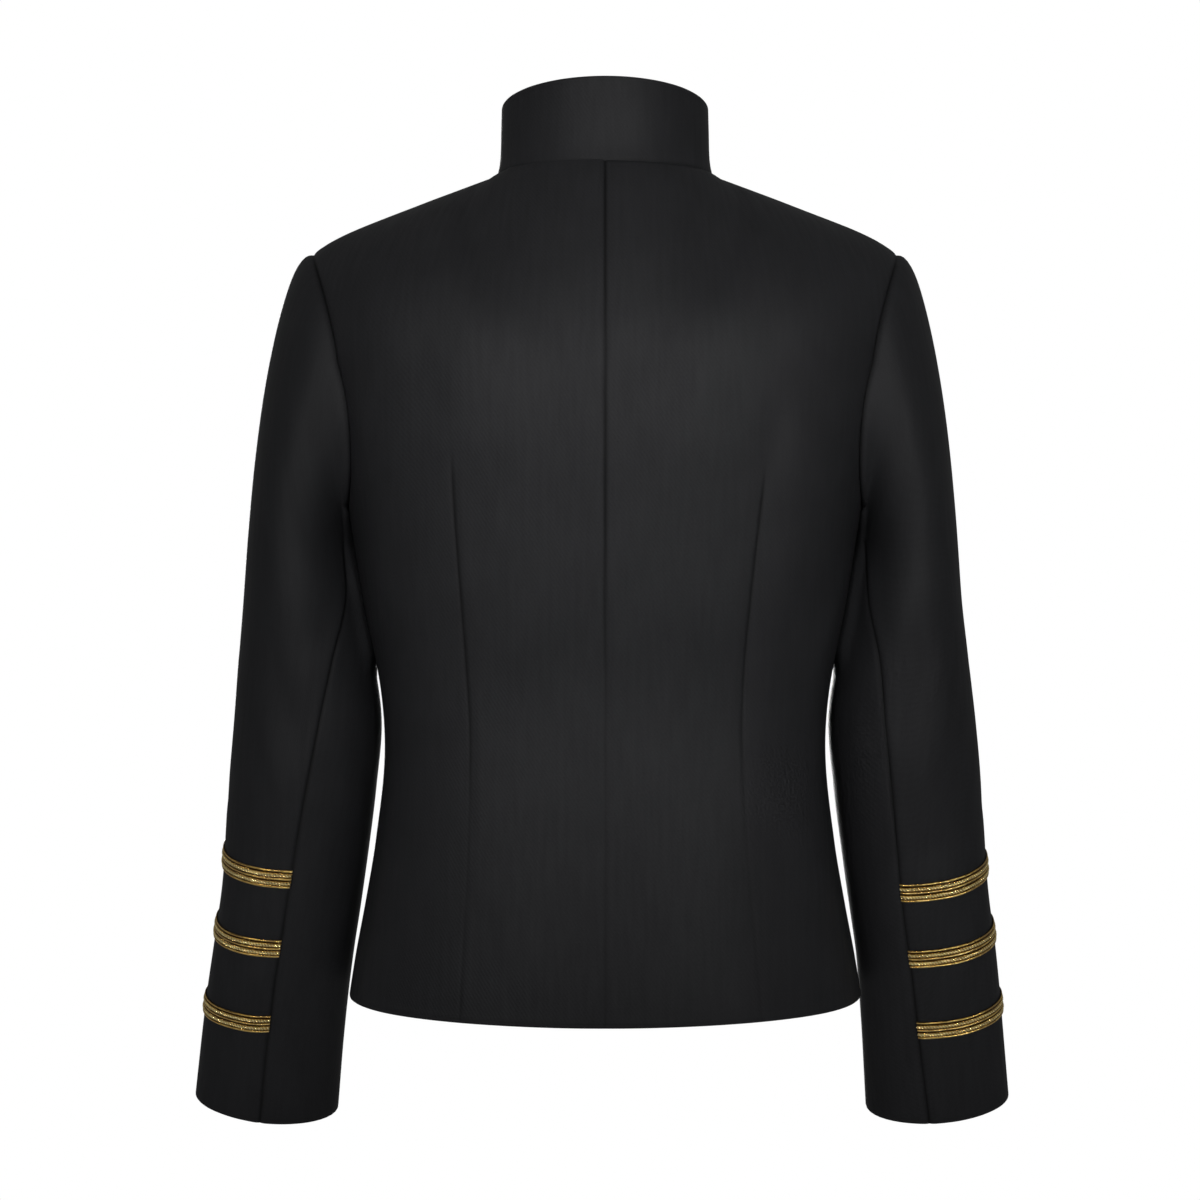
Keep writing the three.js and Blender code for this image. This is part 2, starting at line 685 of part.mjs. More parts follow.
const LEFT_BACK = panelGrid(false);
const LEFT_FRONT = panelGrid(true);
const HEM_ROW = 0;
const CUFF_ROW = HEAD_STEPS + SLEEVE_SECTIONS.length - 1;
const COLLAR_EDGE_ROW = COLLAR_LEAN.length - 1;

// A piece of cloth: turn says which way round its grid runs, and freeRow which of its rows is a free edge.
const clothPiece = (name, group, grid, turn, details) => ({
  name,
  group,
  grid,
  normals: gridNormals(grid, turn),
  wall: CLOTH_WALL,
  ...details,
});

const clothPieces = [
  clothPiece("back_left", "body", LEFT_BACK, -1, { freeRow: HEM_ROW }),
  clothPiece("back_right", "body", mirrored(LEFT_BACK), 1, { freeRow: HEM_ROW }),
  clothPiece("front_left", "body", LEFT_FRONT, 1, { freeRow: HEM_ROW, lift: underLift }),
  clothPiece("front_right", "body", mirrored(LEFT_FRONT), -1, { freeRow: HEM_ROW, lift: overLift }),
  clothPiece("collar", "collar", collarGrid(), -1, { freeRow: COLLAR_EDGE_ROW, wall: COLLAR_WALL }),
  clothPiece("top_sleeve_left", "sleeve", sleeveGrid("left", false), 1, { freeRow: CUFF_ROW }),
  clothPiece("under_sleeve_left", "sleeve", sleeveGrid("left", true), 1, { freeRow: CUFF_ROW }),
  clothPiece("top_sleeve_right", "sleeve", mirrored(sleeveGrid("right", false)), -1, { freeRow: CUFF_ROW }),
  clothPiece("under_sleeve_right", "sleeve", mirrored(sleeveGrid("right", true)), -1, { freeRow: CUFF_ROW }),
];

// The point at a height above the cuff on one column of a sleeve piece, and the normal there.
function pointAbove({ outer }, normals, column, height) {
  let row = outer.length - 1;
  let left = height;
  let length = outer[row][column].distanceTo(outer[row - 1][column]);
  while (left > length) {
    left -= length;
    row -= 1;
    length = outer[row][column].distanceTo(outer[row - 1][column]);
  }
  const share = left / length;
  return {
    point: outer[row][column].clone().lerp(outer[row - 1][column], share),
    normal: normals[row][column].clone().lerp(normals[row - 1][column], share).normalize(),
  };
}

// A braid on a top sleeve: a strip with raised ribs that follows the cloth from seam to seam.
function braidGeometry(walls, normals, height, drop) {
  const rings = walls.outer[0].map((_, column, { length }) => {
    const outside = Math.sin(radians(FRONT_SEAM * column / (length - 1)));
    const riseAt = (across, rise) => {
      const { point, normal } = pointAbove(walls, normals, column, height - drop * outside + across * BRAID_WIDTH);
      return point.addScaledVector(normal, BRAID_GAP + rise);
    };
    return [
      riseAt(BRAID_RIBS[0].across, 0),
      ...BRAID_RIBS.map(({ across, rise }) => riseAt(across, rise)),
      riseAt(BRAID_RIBS.at(-1).across, 0),
    ];
  });
  return ringsGeometry(rings);
}

// A button with its shank, whose foot is at the origin and which stands along +Y.
function buttonGeometry() {
  const profile = BUTTON_PROFILE.map(({ radius, height }) => new THREE.Vector2(radius * BUTTON_RADIUS, height));
  return new THREE.LatheGeometry(profile, BUTTON_SIDES);
}

// A button column's foot on the lapping front: straight behind a place in front of the jacket.
function placeButton(button, front, x, z) {
  const ray = new THREE.Raycaster(new THREE.Vector3(x, -BUTTON_START, z), new THREE.Vector3(0, 1, 0));
  const [{ point, face }] = ray.intersectObject(front);
  button.position.copy(point).addScaledVector(face.normal, SEAM_GAP);
  button.quaternion.setFromUnitVectors(new THREE.Vector3(0, 1, 0), face.normal);
}

function namedMesh(name, geometry, material) {
  const mesh = new THREE.Mesh(geometry, material);
  mesh.name = name;
  return mesh;
}

function buildJacket() {
  const jacket = new THREE.Group();
  const seams = seamNormals(clothPieces);
  for (const piece of clothPieces) {
    const walls = wallPoints(piece, seams);
    jacket.add(namedMesh(piece.name, wallGeometry(walls), CLOTH));
    if (piece.name.startsWith("top_sleeve")) {
      const side = piece.name.replace("top_sleeve_", "");
      BRAID_HEIGHTS[side].forEach((height, index) => {
        const geometry = braidGeometry(walls, piece.normals, height, BRAID_DROP[side]);
        jacket.add(namedMesh(`braid_${side}_${index + 1}`, geometry, BRAID));
      });
    }
  }
  for (const [column, x] of [["left", BUTTON_OFFSET], ["right", -BUTTON_OFFSET]]) {
    BUTTON_LEVELS.forEach((z, index) => {
      const button = namedMesh(`button_${column}_${index + 1}`, buttonGeometry(), METAL);
      placeButton(button, jacket.getObjectByName("front_right"), x, z);
      jacket.add(button);
    });
  }
  return jacket;
}

export default buildJacket();
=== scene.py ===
"""Dresses the double-breasted jacket: its cloth, gold braids, buttons, stage, lights and camera.

Metres. +Z is up, -Y is the jacket's front, and +X is the wearer's left. The origin is on the neck's axis,
level with the shoulder ends of the collar seam. Tables of sizes are in millimetres, as the solids' are.
"""

import logging
import math
from collections.abc import Callable
from dataclasses import dataclass, field
from enum import Enum
from typing import ClassVar

import bpy
import numpy as np
from mathutils import Matrix, Quaternion, Vector, noise
from mathutils.bvhtree import BVHTree
from mathutils.kdtree import KDTree

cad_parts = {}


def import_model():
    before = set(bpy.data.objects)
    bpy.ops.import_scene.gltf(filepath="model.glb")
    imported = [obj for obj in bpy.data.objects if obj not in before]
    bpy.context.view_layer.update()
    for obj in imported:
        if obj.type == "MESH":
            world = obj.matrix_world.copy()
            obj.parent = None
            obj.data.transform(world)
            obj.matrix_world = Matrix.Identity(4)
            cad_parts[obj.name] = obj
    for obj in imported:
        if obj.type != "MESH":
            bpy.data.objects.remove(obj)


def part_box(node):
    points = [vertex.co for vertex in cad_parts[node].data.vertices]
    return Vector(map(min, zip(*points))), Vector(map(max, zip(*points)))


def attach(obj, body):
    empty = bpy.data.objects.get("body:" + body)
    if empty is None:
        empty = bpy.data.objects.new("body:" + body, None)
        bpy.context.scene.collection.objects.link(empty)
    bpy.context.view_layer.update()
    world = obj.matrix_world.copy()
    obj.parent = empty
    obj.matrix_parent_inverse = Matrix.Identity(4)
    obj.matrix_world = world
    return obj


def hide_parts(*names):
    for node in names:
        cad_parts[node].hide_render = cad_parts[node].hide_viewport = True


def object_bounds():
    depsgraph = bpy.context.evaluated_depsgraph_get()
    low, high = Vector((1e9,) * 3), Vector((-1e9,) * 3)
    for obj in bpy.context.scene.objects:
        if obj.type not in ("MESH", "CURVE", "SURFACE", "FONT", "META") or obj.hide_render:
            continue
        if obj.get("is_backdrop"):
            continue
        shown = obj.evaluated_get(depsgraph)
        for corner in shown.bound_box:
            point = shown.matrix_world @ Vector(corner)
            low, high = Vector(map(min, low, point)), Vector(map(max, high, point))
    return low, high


LOG = logging.getLogger("jacket")
MM = 0.001
HALVINGS = 30
SHORTEST = 1e-12


class Side(Enum):
    """Which of the wearer's sides a piece is on; the value is the sign of its X."""

    LEFT = 1
    RIGHT = -1

    @property
    def word(self) -> str:
        """The side's name, as node names end."""
        return self.name.lower()


class Edge(Enum):
    """How an edge of a piece of cloth is finished."""

    SEWN = "sewn"
    TURNED = "turned"
    ROUNDED = "rounded"


class Facing(Enum):
    """Which way a stretch of cloth faces.

    The value is its axis, the axis that a path across it is measured on, and the axis's sign, or 0 for
    that of the piece's own side.
    """

    BACK = (1, 0, 1)
    FRONT = (1, 0, -1)
    OUTSIDE = (0, 1, 0)


# --- Curves and grids -----------------------------------------------------------------------------


def mix(first: np.ndarray, second: np.ndarray, share: np.ndarray) -> np.ndarray:
    """The value at a share of the way from the first to the second."""
    return first + (second - first) * share


def smooth(value: np.ndarray, start: float, end: float) -> np.ndarray:
    """A share that rises softly from 0 at start to 1 at end."""
    share = np.clip((value - start) / (end - start), 0, 1)
    return share * share * (3 - 2 * share)


def unit(vectors: np.ndarray) -> np.ndarray:
    """The vectors, each made one long."""
    return vectors / np.maximum(np.linalg.norm(vectors, axis=-1, keepdims=True), SHORTEST)


def cubic(
    start: np.ndarray, pull: np.ndarray, end: np.ndarray, end_pull: np.ndarray, share: np.ndarray
) -> np.ndarray:
    """Points of a cubic curve.

    Args:
        start: Where the curve starts.
        pull: Its pull there.
        end: Where it ends.
        end_pull: Its pull there.
        share: How far along it the points lie, from 0 to 1.

    Returns:
        The points.
    """
    rest = 1 - share
    return (
        (1 + 2 * share) * rest * rest * start
        + share * rest * rest * pull
        + share * share * (3 - 2 * share) * end
        - share * share * rest * end_pull
    )


def smooth_curve(points: np.ndarray, at: np.ndarray) -> np.ndarray:
    """Points on the smooth curve through a row of points.

    Args:
        points: The row of points, along the first axis.
        at: Where the wanted points lie, counted in points from the first.

    Returns:
        The wanted points, along the first axis.
    """
    lengths = np.linalg.norm(np.diff(points, axis=0), axis=-1, keepdims=True)
    slopes = np.diff(points, axis=0) / lengths
    middle = (slopes[:-1] * lengths[1:] + slopes[1:] * lengths[:-1]) / (lengths[1:] + lengths[:-1])
    leaving = np.concatenate([slopes[:1], middle])
    arriving = np.concatenate([middle, slopes[-1:]])
    index = np.clip(np.floor(at).astype(int), 0, len(points) - 2)
    share = (at - index).reshape(-1, *[1] * (points.ndim - 1))
    reach = lengths[index]
    return cubic(points[index], leaving[index] * reach, points[index + 1], arriving[index] * reach, share)


def lengths_along(points: np.ndarray, axis: int) -> np.ndarray:
    """How far each point of a grid lies from the first, measured along one axis of the grid.

    Args:
        points: The grid.
        axis: The axis.

    Returns:
        The lengths.
    """
    steps = np.linalg.norm(np.diff(points, axis=axis), axis=-1)
    start = np.zeros_like(np.take(steps, [0], axis=axis))
    return np.concatenate([start, np.cumsum(steps, axis=axis)], axis=axis)


def grid_normals(points: np.ndarray) -> np.ndarray:
    """The normal at each point of a grid: the way its columns run, crossed with the way its rows run."""
    return unit(np.cross(np.gradient(points, axis=1), np.gradient(points, axis=0)))


def spread(anchors: list[float], spacing: float, close: tuple[float, ...], counts: list[int]) -> np.ndarray:
    """Places along a line that crowd at its anchors and are even between them.

    Args:
        anchors: The anchors' places, rising; the first and the last are the line's ends.
        spacing: The width of the crowd's steps, which shrinks where two anchors are near.
        close: How far the crowd's members lie from an anchor, in steps.
        counts: How many even places lie between each anchor and the next.

    Returns:
        The places, rising.
    """
    places = [anchors[0]]
    for start, end, count in zip(anchors, anchors[1:], counts):
        step = min(spacing, (end - start) / (3 * close[-1]))
        near = [start + step * part for part in close]
        far = [end - step * part for part in reversed(close)]
        even = np.linspace(near[-1], far[0], count + 2)[1:-1]
        places += [*near, *even, *far, end]
    return np.array(places)


@dataclass(frozen=True)
class Table:
    """Columns of sizes against a rising key, on smooth curves through the rows."""

    names: tuple[str, ...]
    rows: tuple[tuple[float, ...], ...]

    def read(self, name: str, at: np.ndarray) -> np.ndarray:
        """A column's values.

        Args:
            name: The column's name; the first name is the key's.
            at: The key's values.

        Returns:
            The column's values there.
        """
        cells = np.array(sorted(self.rows))
        key, column = cells[:, 0], cells[:, self.names.index(name)]
        before = np.maximum(np.arange(len(key)) - 1, 0)
        after = np.minimum(np.arange(len(key)) + 1, len(key) - 1)
        slope = (column[after] - column[before]) / (key[after] - key[before])
        held = np.clip(at, key[0], key[-1])
        index = np.clip(np.searchsorted(key, held, side="right") - 1, 0, len(key) - 2)
        span = key[index + 1] - key[index]
        share = (held - key[index]) / span
        return cubic(column[index], span * slope[index], column[index + 1], span * slope[index + 1], share)


# --- The jacket's form, as the solids have it -----------------------------------------------------


@dataclass(frozen=True)
class BodyForm:
    """The sizes of the body's form and of its panels, in millimetres."""

    underarm: float = -234
    blade: float = -134
    hem: float = -566
    hem_dip: float = 9
    back_power: float = 2.6
    front_power: float = 2.25
    neck_half_width: float = 74.5
    neck_half_depth: float = 66
    neck_centre: float = 3
    neck_back: float = 2
    neck_side: float = 1
    neck_front: float = -60
    neck_fall_power: float = 1.35
    shoulder_tip: tuple[float, float, float] = (203.5, -2, -53.5)
    shoulder_rounding: float = 6
    shoulder_rounding_power: float = 10
    nape_rise: float = 1.54
    throat_rise: float = 1.44
    side_neck_rise: float = 0.45
    ridge_rise: float = 0.1
    ridge_turn: tuple[float, float] = (0.5, 1.6)
    round_pull: float = 1.6
    neck_share: float = 6 / 13
    lap_corner: float = -84
    lap_top_power: float = 1.5
    lap_lift: float = 2.8
    lap_ease: float = 34
    blade_step: int = 8
    shoulder_step: int = 14
    sections: Table = Table(
        ("z", "width", "front", "back"),
        (
            (-580, 179, 124, 121),
            (-540, 172.5, 120, 117),
            (-505, 166, 115, 111),
            (-463, 159, 111, 103),
            (-405, 153, 109, 94),
            (-358, 155.5, 114, 94),
            (-295, 167.5, 129, 104),
            (-234, 177.5, 136, 112),
            (-186, 187, 131, 118),
            (-134, 197, 114, 119),
            (-100, 204, 92, 115),
        ),
    )
    armhole: Table = Table(
        ("z", "back", "front"),
        (
            (-234, 0, 0),
            (-232.6, 16, 18),
            (-228, 31, 34),
            (-220, 43, 47),
            (-208, 53, 57),
            (-193, 60, 64),
            (-175, 64.5, 69),
            (-155, 66, 71),
            (-134, 64, 69),
        ),
    )
    laps: Table = Table(("z", "reach"), ((-580, 56), (-405, 52), (-234, 66), (-134, 68)))

    def point(self, angle: np.ndarray, z: np.ndarray) -> np.ndarray:
        """Points on the body.

        Args:
            angle: Their angles from the centre back round to the wearer's left.
            z: Their levels.

        Returns:
            The points.
        """
        is_back = np.cos(angle) > 0
        depth = np.where(is_back, self.sections.read("back", z), self.sections.read("front", z))
        power = np.where(is_back, self.back_power, self.front_power)
        across = (np.abs(np.sin(angle)) / self.sections.read("width", z)) ** power
        along = (np.abs(np.cos(angle)) / depth) ** power
        radius = (across + along) ** (-1 / power)
        level = np.broadcast_to(z, radius.shape)
        return np.stack([radius * np.sin(angle), radius * np.cos(angle), level], -1)

    def armhole_angle(self, is_front: bool, z: np.ndarray) -> np.ndarray:
        """The angle at which the armhole's edge lies.

        Args:
            is_front: Whether it is the front's edge.
            z: The levels.

        Returns:
            The angles from the centre back.
        """
        name, power, sign = ("front", self.front_power, -1) if is_front else ("back", self.back_power, 1)
        reach = self.armhole.read(name, z)
        share = 1 - (reach / self.sections.read(name, z)) ** power
        return np.arctan2(self.sections.read("width", z) * share ** (1 / power), sign * reach)

    def neck_point(self, angle: np.ndarray) -> np.ndarray:
        """Points of the neckline.

        Args:
            angle: Their angles from the centre back.

        Returns:
            The points.
        """
        forward = np.maximum(-np.cos(angle), 0)
        backward = np.maximum(np.cos(angle), 0)
        z = (
            self.neck_side
            + (self.neck_back - self.neck_side) * backward
            + (self.neck_front - self.neck_side) * forward**self.neck_fall_power
        )
        x = self.neck_half_width * np.sin(angle)
        return np.stack([x, self.neck_centre + self.neck_half_depth * np.cos(angle), z], -1)

    def shoulder_point(self, share: np.ndarray) -> np.ndarray:
        """Points of the shoulder seam.

        Args:
            share: Their share of the way out from the neck.

        Returns:
            The points.
        """
        start = self.neck_point(np.array(math.pi / 2))
        points = mix(start, np.array(self.shoulder_tip), share[..., None])
        points[..., 2] += self.shoulder_rounding * (share - share**self.shoulder_rounding_power)
        return points

    def column_angle(self, is_front: bool, share: np.ndarray, z: np.ndarray) -> np.ndarray:
        """The angle of a panel's line from hem to shoulder.

        Args:
            is_front: Whether the panel is a front.
            share: The line's share of the panel's width.
            z: The levels.

        Returns:
            The angles from the centre back.
        """
        start = math.pi if is_front else 0
        armhole = self.armhole_angle(is_front, np.maximum(z, self.underarm))
        end = np.where(z > self.underarm, armhole, math.pi / 2)
        return mix(start, math.pi / 2, share) + (end - math.pi / 2) * share * share

    def lap_share(self, z: np.ndarray) -> np.ndarray:
        """The share of a front's width that its lap takes on the far side of the centre.

        Args:
            z: The levels.

        Returns:
            The shares.
        """
        reach = self.laps.read("reach", z)
        width = self.sections.read("width", z)
        depth_share = 1 - (reach / width) ** self.front_power
        y = self.sections.read("front", z) * depth_share ** (1 / self.front_power)
        armhole = self.armhole_angle(True, np.maximum(z, self.underarm))
        square = np.where(z > self.underarm, armhole, math.pi / 2) - math.pi / 2
        rest = np.arctan2(reach, y)
        return 2 * rest / (math.pi / 2 + np.sqrt(math.pi**2 / 4 - 4 * square * rest))

    def crown(self, is_front: bool, share: np.ndarray, part: np.ndarray) -> np.ndarray:
        """Points above the blade level.

        Args:
            is_front: Whether they lie on a front.
            share: Their share of the panel's width.
            part: How far up they lie, from 0 at the blade level to 1 at the neckline or the shoulder seam.

        Returns:
            The points.
        """
        on_neck = np.minimum(share / self.neck_share, 1)
        neck_angle = mix(math.pi if is_front else 0, math.pi / 2, on_neck)
        past = np.clip((share - self.neck_share) / (1 - self.neck_share), 0, 1)
        is_neck = (share < self.neck_share)[..., None]
        end = np.where(is_neck, self.neck_point(neck_angle), self.shoulder_point(past))
        blade = np.full_like(share, self.blade)
        angle = self.column_angle(is_front, share, blade)
        start = self.point(angle, blade)
        pull = (self.point(angle, blade + 1) - start) * (
            (end[..., 2] - self.blade) * mix(1, self.round_pull, on_neck**2)
        )[..., None]
        rise = mix(self.throat_rise if is_front else self.nape_rise, self.side_neck_rise, on_neck**2)
        to_neck = unit(np.stack([-np.sin(neck_angle), -np.cos(neck_angle), rise], -1))
        to_ridge = np.array([0, 1 if is_front else -1, self.ridge_rise])
        turned = smooth(share, *[turn * self.neck_share for turn in self.ridge_turn])[..., None]
        apart = np.linalg.norm(end - start, axis=-1, keepdims=True)
        reach = mix(apart, self.round_pull * np.abs(end - start)[..., 1:2], turned)
        end_pull = unit(mix(to_neck, to_ridge, turned)) * reach
        return cubic(start, pull, end, end_pull, np.asarray(part)[..., None])

    def row(self, is_front: bool, across: np.ndarray, height: float) -> np.ndarray:
        """Points across one of the wearer's left panels.

        Args:
            is_front: Whether it is the front.
            across: Their places, from -1 at the lap's edge and 0 at the centre to 1 at the side.
            height: 0 at the hem, 1 at the underarm, 2 at the blade level and 3 at the top.

        Returns:
            The points.
        """
        past = np.maximum(-across, 0)
        share = np.maximum(across, 0)
        if height > 2:
            lap = past * self.lap_share(np.full_like(past, self.blade))
            part = np.full_like(share, height - 2)
            laps = self.crown(True, lap, self.lap_top(lap, past) * part)
            points = self.crown(is_front, share, part)
        else:
            below = np.full_like(share, mix(self.underarm, self.blade, max(height - 1, 0)))
            hem = np.array(self.hem)
            plan = self.column_angle(is_front, share, np.full_like(share, self.hem))
            lap_plan = self.column_angle(True, past * self.lap_share(hem), hem)
            low = self.hem - self.hem_dip * np.abs(np.cos(np.where(past > 0, lap_plan, plan)))
            z = mix(low, self.underarm, height) if height < 1 else below
            points = self.point(self.column_angle(is_front, share, z), z)
            laps = self.point(self.column_angle(True, past * self.lap_share(z), z), z)
        return np.where((past > 0)[..., None], laps * np.array([-1, 1, 1]), points)

    def lap_top(self, lap: np.ndarray, past: np.ndarray) -> np.ndarray:
        """The part of the crown's height at which the lap's top edge lies.

        Args:
            lap: The places across the lap, as shares of the front's width.
            past: The same places, as shares of the lap's own width.

        Returns:
            The parts, from 0 to 1.
        """
        level = mix(self.neck_front, self.lap_corner, past**self.lap_top_power)
        low, high = np.zeros_like(past), np.ones_like(past)
        for _ in range(HALVINGS):
            middle = (low + high) / 2
            is_under = self.crown(True, lap, middle)[..., 2] < level
            low, high = np.where(is_under, middle, low), np.where(is_under, high, middle)
        return (low + high) / 2

    def armhole_point(self, step: np.ndarray) -> np.ndarray:
        """Points of the armhole.

        Args:
            step: Their places, counted from the underarm up the back to the shoulder step, and as many
                again down the front.

        Returns:
            The points.
        """
        is_front = step > self.shoulder_step
        climb = np.where(is_front, 2 * self.shoulder_step - step, step)
        steps = np.arange(len(self.armhole.rows))
        levels = Table(("step", "z"), tuple(zip(steps, (row[0] for row in self.armhole.rows))))
        z = levels.read("z", np.minimum(climb, self.blade_step))
        part = np.maximum(climb - self.blade_step, 0) / (self.shoulder_step - self.blade_step)
        one = np.ones_like(climb)
        faces = []
        for front in (False, True):
            low = self.point(self.column_angle(front, one, z), z)
            high = self.crown(front, one, part)
            faces.append(np.where((climb > self.blade_step)[..., None], high, low))
        return np.where(is_front[..., None], faces[1], faces[0])


@dataclass(frozen=True)
class SleeveForm:
    """The sizes of one sleeve's form, on the wearer's left, in millimetres."""

    turned: float
    swing: float
    fullness: float
    flatter: float
    flatter_levels: tuple[float, float] = (-400, -295)
    swing_levels: tuple[float, float] = (-656, -520)
    power: float = 2.15
    front_seam: float = 210
    cuff_slant: float = 4
    steps: int = 28
    seam_steps: tuple[int, int] = (4, 24)
    head_low: tuple[float, float, float] = (17, 0, -14)
    head_high: tuple[float, float, float] = (78, 0, -30)
    head_bulge: float = 7
    head_end_pulls: tuple[float, float] = (28, 200)
    columns: tuple[str, ...] = ("z", "x", "y", "width", "depth", "seam", "turn")
    sections: tuple[tuple[float, ...], ...] = (
        (-262, 213.5, -4, 36.2, 57, -50, 0),
        (-295, 211.5, -4, 40.6, 55, -44, 7),
        (-335, 209.8, -5, 46, 51, -27, 3),
        (-378, 208.2, -8, 50.5, 47, -14, -5),
        (-420, 212, -12, 50.6, 43, -8, -11),
        (-463, 217, -19, 49.8, 40, -3.5, -17),
        (-505, 222.4, -27, 48.8, 37.5, 0, -22),
        (-547, 229.2, -37, 48.9, 35, 1.5, -24),
        (-600, 236.3, -52, 49.7, 32, 2.5, -24),
        (-656, 242.7, -68.5, 51, 30, 3, -20),
    )

    def centre(self, index: int) -> np.ndarray:
        """The centre of a section."""
        z, x, y = self.sections[index][:3]
        return np.array([x + self.swing * (1 - smooth(z, *self.swing_levels)) - self.flattened(z), y, z])

    def flattened(self, z: float) -> float:
        """How much narrower half of the sleeve is at a level, above the elbow."""
        return self.flatter / 2 * smooth(z, *self.flatter_levels)

    def section(self, index: int, step: np.ndarray, is_under: bool) -> np.ndarray:
        """Points of a section.

        Args:
            index: Which section.
            step: Their places round the sleeve, as on the armhole.
            is_under: Whether they lie on the under sleeve.

        Returns:
            The points.
        """
        last = len(self.sections) - 1
        z, _, _, width, depth, seam, turn = self.sections[index]
        width = width - self.flattened(z)
        down = unit(self.centre(min(index + 1, last)) - self.centre(max(index - 1, 0)))
        outward = unit(np.array([1, 0, 0]) - down * down[0])
        backward = np.cross(outward, down)
        turn = self.turned * turn
        back, front = self.seam_steps
        if is_under:
            share = (step - front) / (self.steps + back - front)
            degrees = mix(self.front_seam, seam + 360, share)
        else:
            share = (step - back) / (front - back)
            degrees = mix(seam, self.front_seam, share)
        angle = np.radians(degrees + turn)
        across = (np.abs(np.sin(angle)) / width) ** self.power
        along = (np.abs(np.cos(angle)) / depth) ** self.power
        radius = ((across + along) ** (-1 / self.power))[..., None]
        sine, cosine = np.sin(angle)[..., None], np.cos(angle)[..., None]
        slant = self.cuff_slant if index == last else 0
        points = self.centre(index) + outward * radius * sine + backward * radius * cosine
        return points + down * slant * cosine

    def head(self, start: np.ndarray, step: np.ndarray, is_under: bool, share: np.ndarray) -> np.ndarray:
        """Points of the sleeve head, between the armhole and the first section.

        Args:
            start: The armhole's points.
            step: Their places round it.
            is_under: Whether they lie on the under sleeve.
            share: How far down from the armhole the wanted points lie, from 0 to 1.

        Returns:
            The wanted points.
        """
        angle = np.radians(-90 + 360 * step / self.steps)
        height = ((1 + np.sin(angle)) / 2)[..., None]
        pull = mix(np.array(self.head_low), np.array(self.head_high), height)
        pull[..., 0] *= mix(1, self.fullness, height[..., 0])
        pull[..., 1] += self.head_bulge * np.cos(angle)
        end = self.section(0, step, is_under)
        end_pull = unit(self.section(1, step, is_under) - end) * mix(*self.head_end_pulls, height)
        return cubic(start, pull, end, end_pull, share)


@dataclass(frozen=True)
class CollarForm:
    """The sizes of the stand collar, in millimetres."""

    back_height: float = 56
    side_height: float = 45
    front_height: float = 45
    end_drop: float = 4
    end_angle: float = 0.12
    lean: Table = Table(("share", "inset"), ((0, 0), (0.12, 1.5), (0.3, 2.4), (0.65, 2.8), (1, 3.2)))

    def row(self, body: BodyForm, angle: np.ndarray, share: float) -> np.ndarray:
        """Points round the collar.

        Args:
            body: The body whose neckline it stands on.
            angle: Their angles from the centre back.
            share: Their share of the collar's height.

        Returns:
            The points.
        """
        points = body.neck_point(angle)
        forward = np.maximum(-np.cos(angle), 0)
        backward = np.maximum(np.cos(angle), 0)
        height = (
            self.side_height
            + (self.back_height - self.side_height) * backward
            + (self.front_height - self.side_height) * forward
        )
        inward = np.stack([-np.sin(angle), -np.cos(angle), np.zeros_like(angle)], -1)
        points = points + inward * float(self.lean.read("inset", np.array(share)))
        near_end = smooth(np.abs(angle), math.pi - self.end_angle, math.pi)
        points[..., 2] += height * share - self.end_drop * near_end * share**3
        return points


# --- Finishes -------------------------------------------------------------------------------------


class NodeSheet:
    """A material's nodes, added and joined one after the other."""

    def __init__(self, name: str) -> None:
        """Starts a material with its shader.

        Args:
            name: The material's name.
        """
        self.material = bpy.data.materials.new(name)
        self.material.use_nodes = True
        self.nodes = self.material.node_tree.nodes
        self.shader = self.nodes["Principled BSDF"]

    def add(
        self, kind: str, inputs: dict[str | int, object] | None = None, **settings: object
    ) -> bpy.types.Node:
        """A new node.

        Args:
            kind: The node's type, without its ShaderNode prefix.
            inputs: Its inputs: a value, or the output of another node.
            settings: Its own settings.

        Returns:
            The node.
        """
        node = self.nodes.new(f"ShaderNode{kind}")
        for name, value in settings.items():
            setattr(node, name, value)
        for name, value in (inputs or {}).items():
            self.feed(node, name, value)
        return node

    def feed(self, node: bpy.types.Node, name: str | int, value: object) -> None:
        """Sets a node's input to a value, or joins another node's output to it.

        Args:
            node: The node.
            name: The input's name or number.
            value: The value or the output.
        """
        if isinstance(value, bpy.types.NodeSocket):
            self.material.node_tree.links.new(value, node.inputs[name])
        else:
            node.inputs[name].default_value = value

    def grain(self, place: object, scale: float, detail: float) -> bpy.types.NodeSocket:
        """The value of a Noise Texture node, whose scale is counted in grains along a metre."""
        return self.add("TexNoise", {"Vector": place, "Scale": scale, "Detail": detail}).outputs["Fac"]

    def maths(self, operation: str, *values: object) -> bpy.types.NodeSocket:
        """The result of a Math node."""
        node = self.add("Math", dict(enumerate(values)), operation=operation)
        return node.outputs[0]

    def ramp(self, factor: object, low: float, high: float) -> bpy.types.NodeSocket:
        """A factor stretched so that low gives 0 and high gives 1."""
        node = self.add("MapRange", {"Value": factor, "From Min": low, "From Max": high})
        return node.outputs["Result"]

    def blend(
        self, factor: object, first: tuple[float, ...], second: tuple[float, ...]
    ) -> bpy.types.NodeSocket:
        """A colour between two.

        Args:
            factor: How far it lies towards the second.
            first: The first colour.
            second: The second colour.

        Returns:
            The output that carries it.
        """
        node = self.add("Mix", {"Factor": factor}, data_type="RGBA")
        node.inputs["A"].default_value = (*first, 1)
        node.inputs["B"].default_value = (*second, 1)
        return node.outputs["Result"]

    def dress(self, **inputs: object) -> bpy.types.Material:
        """Sets the shader's inputs.

        Args:
            inputs: The inputs, named with underscores for spaces.

        Returns:
            The material.
        """
        for name, value in inputs.items():
            self.feed(self.shader, name.replace("_", " "), value)
        return self.material


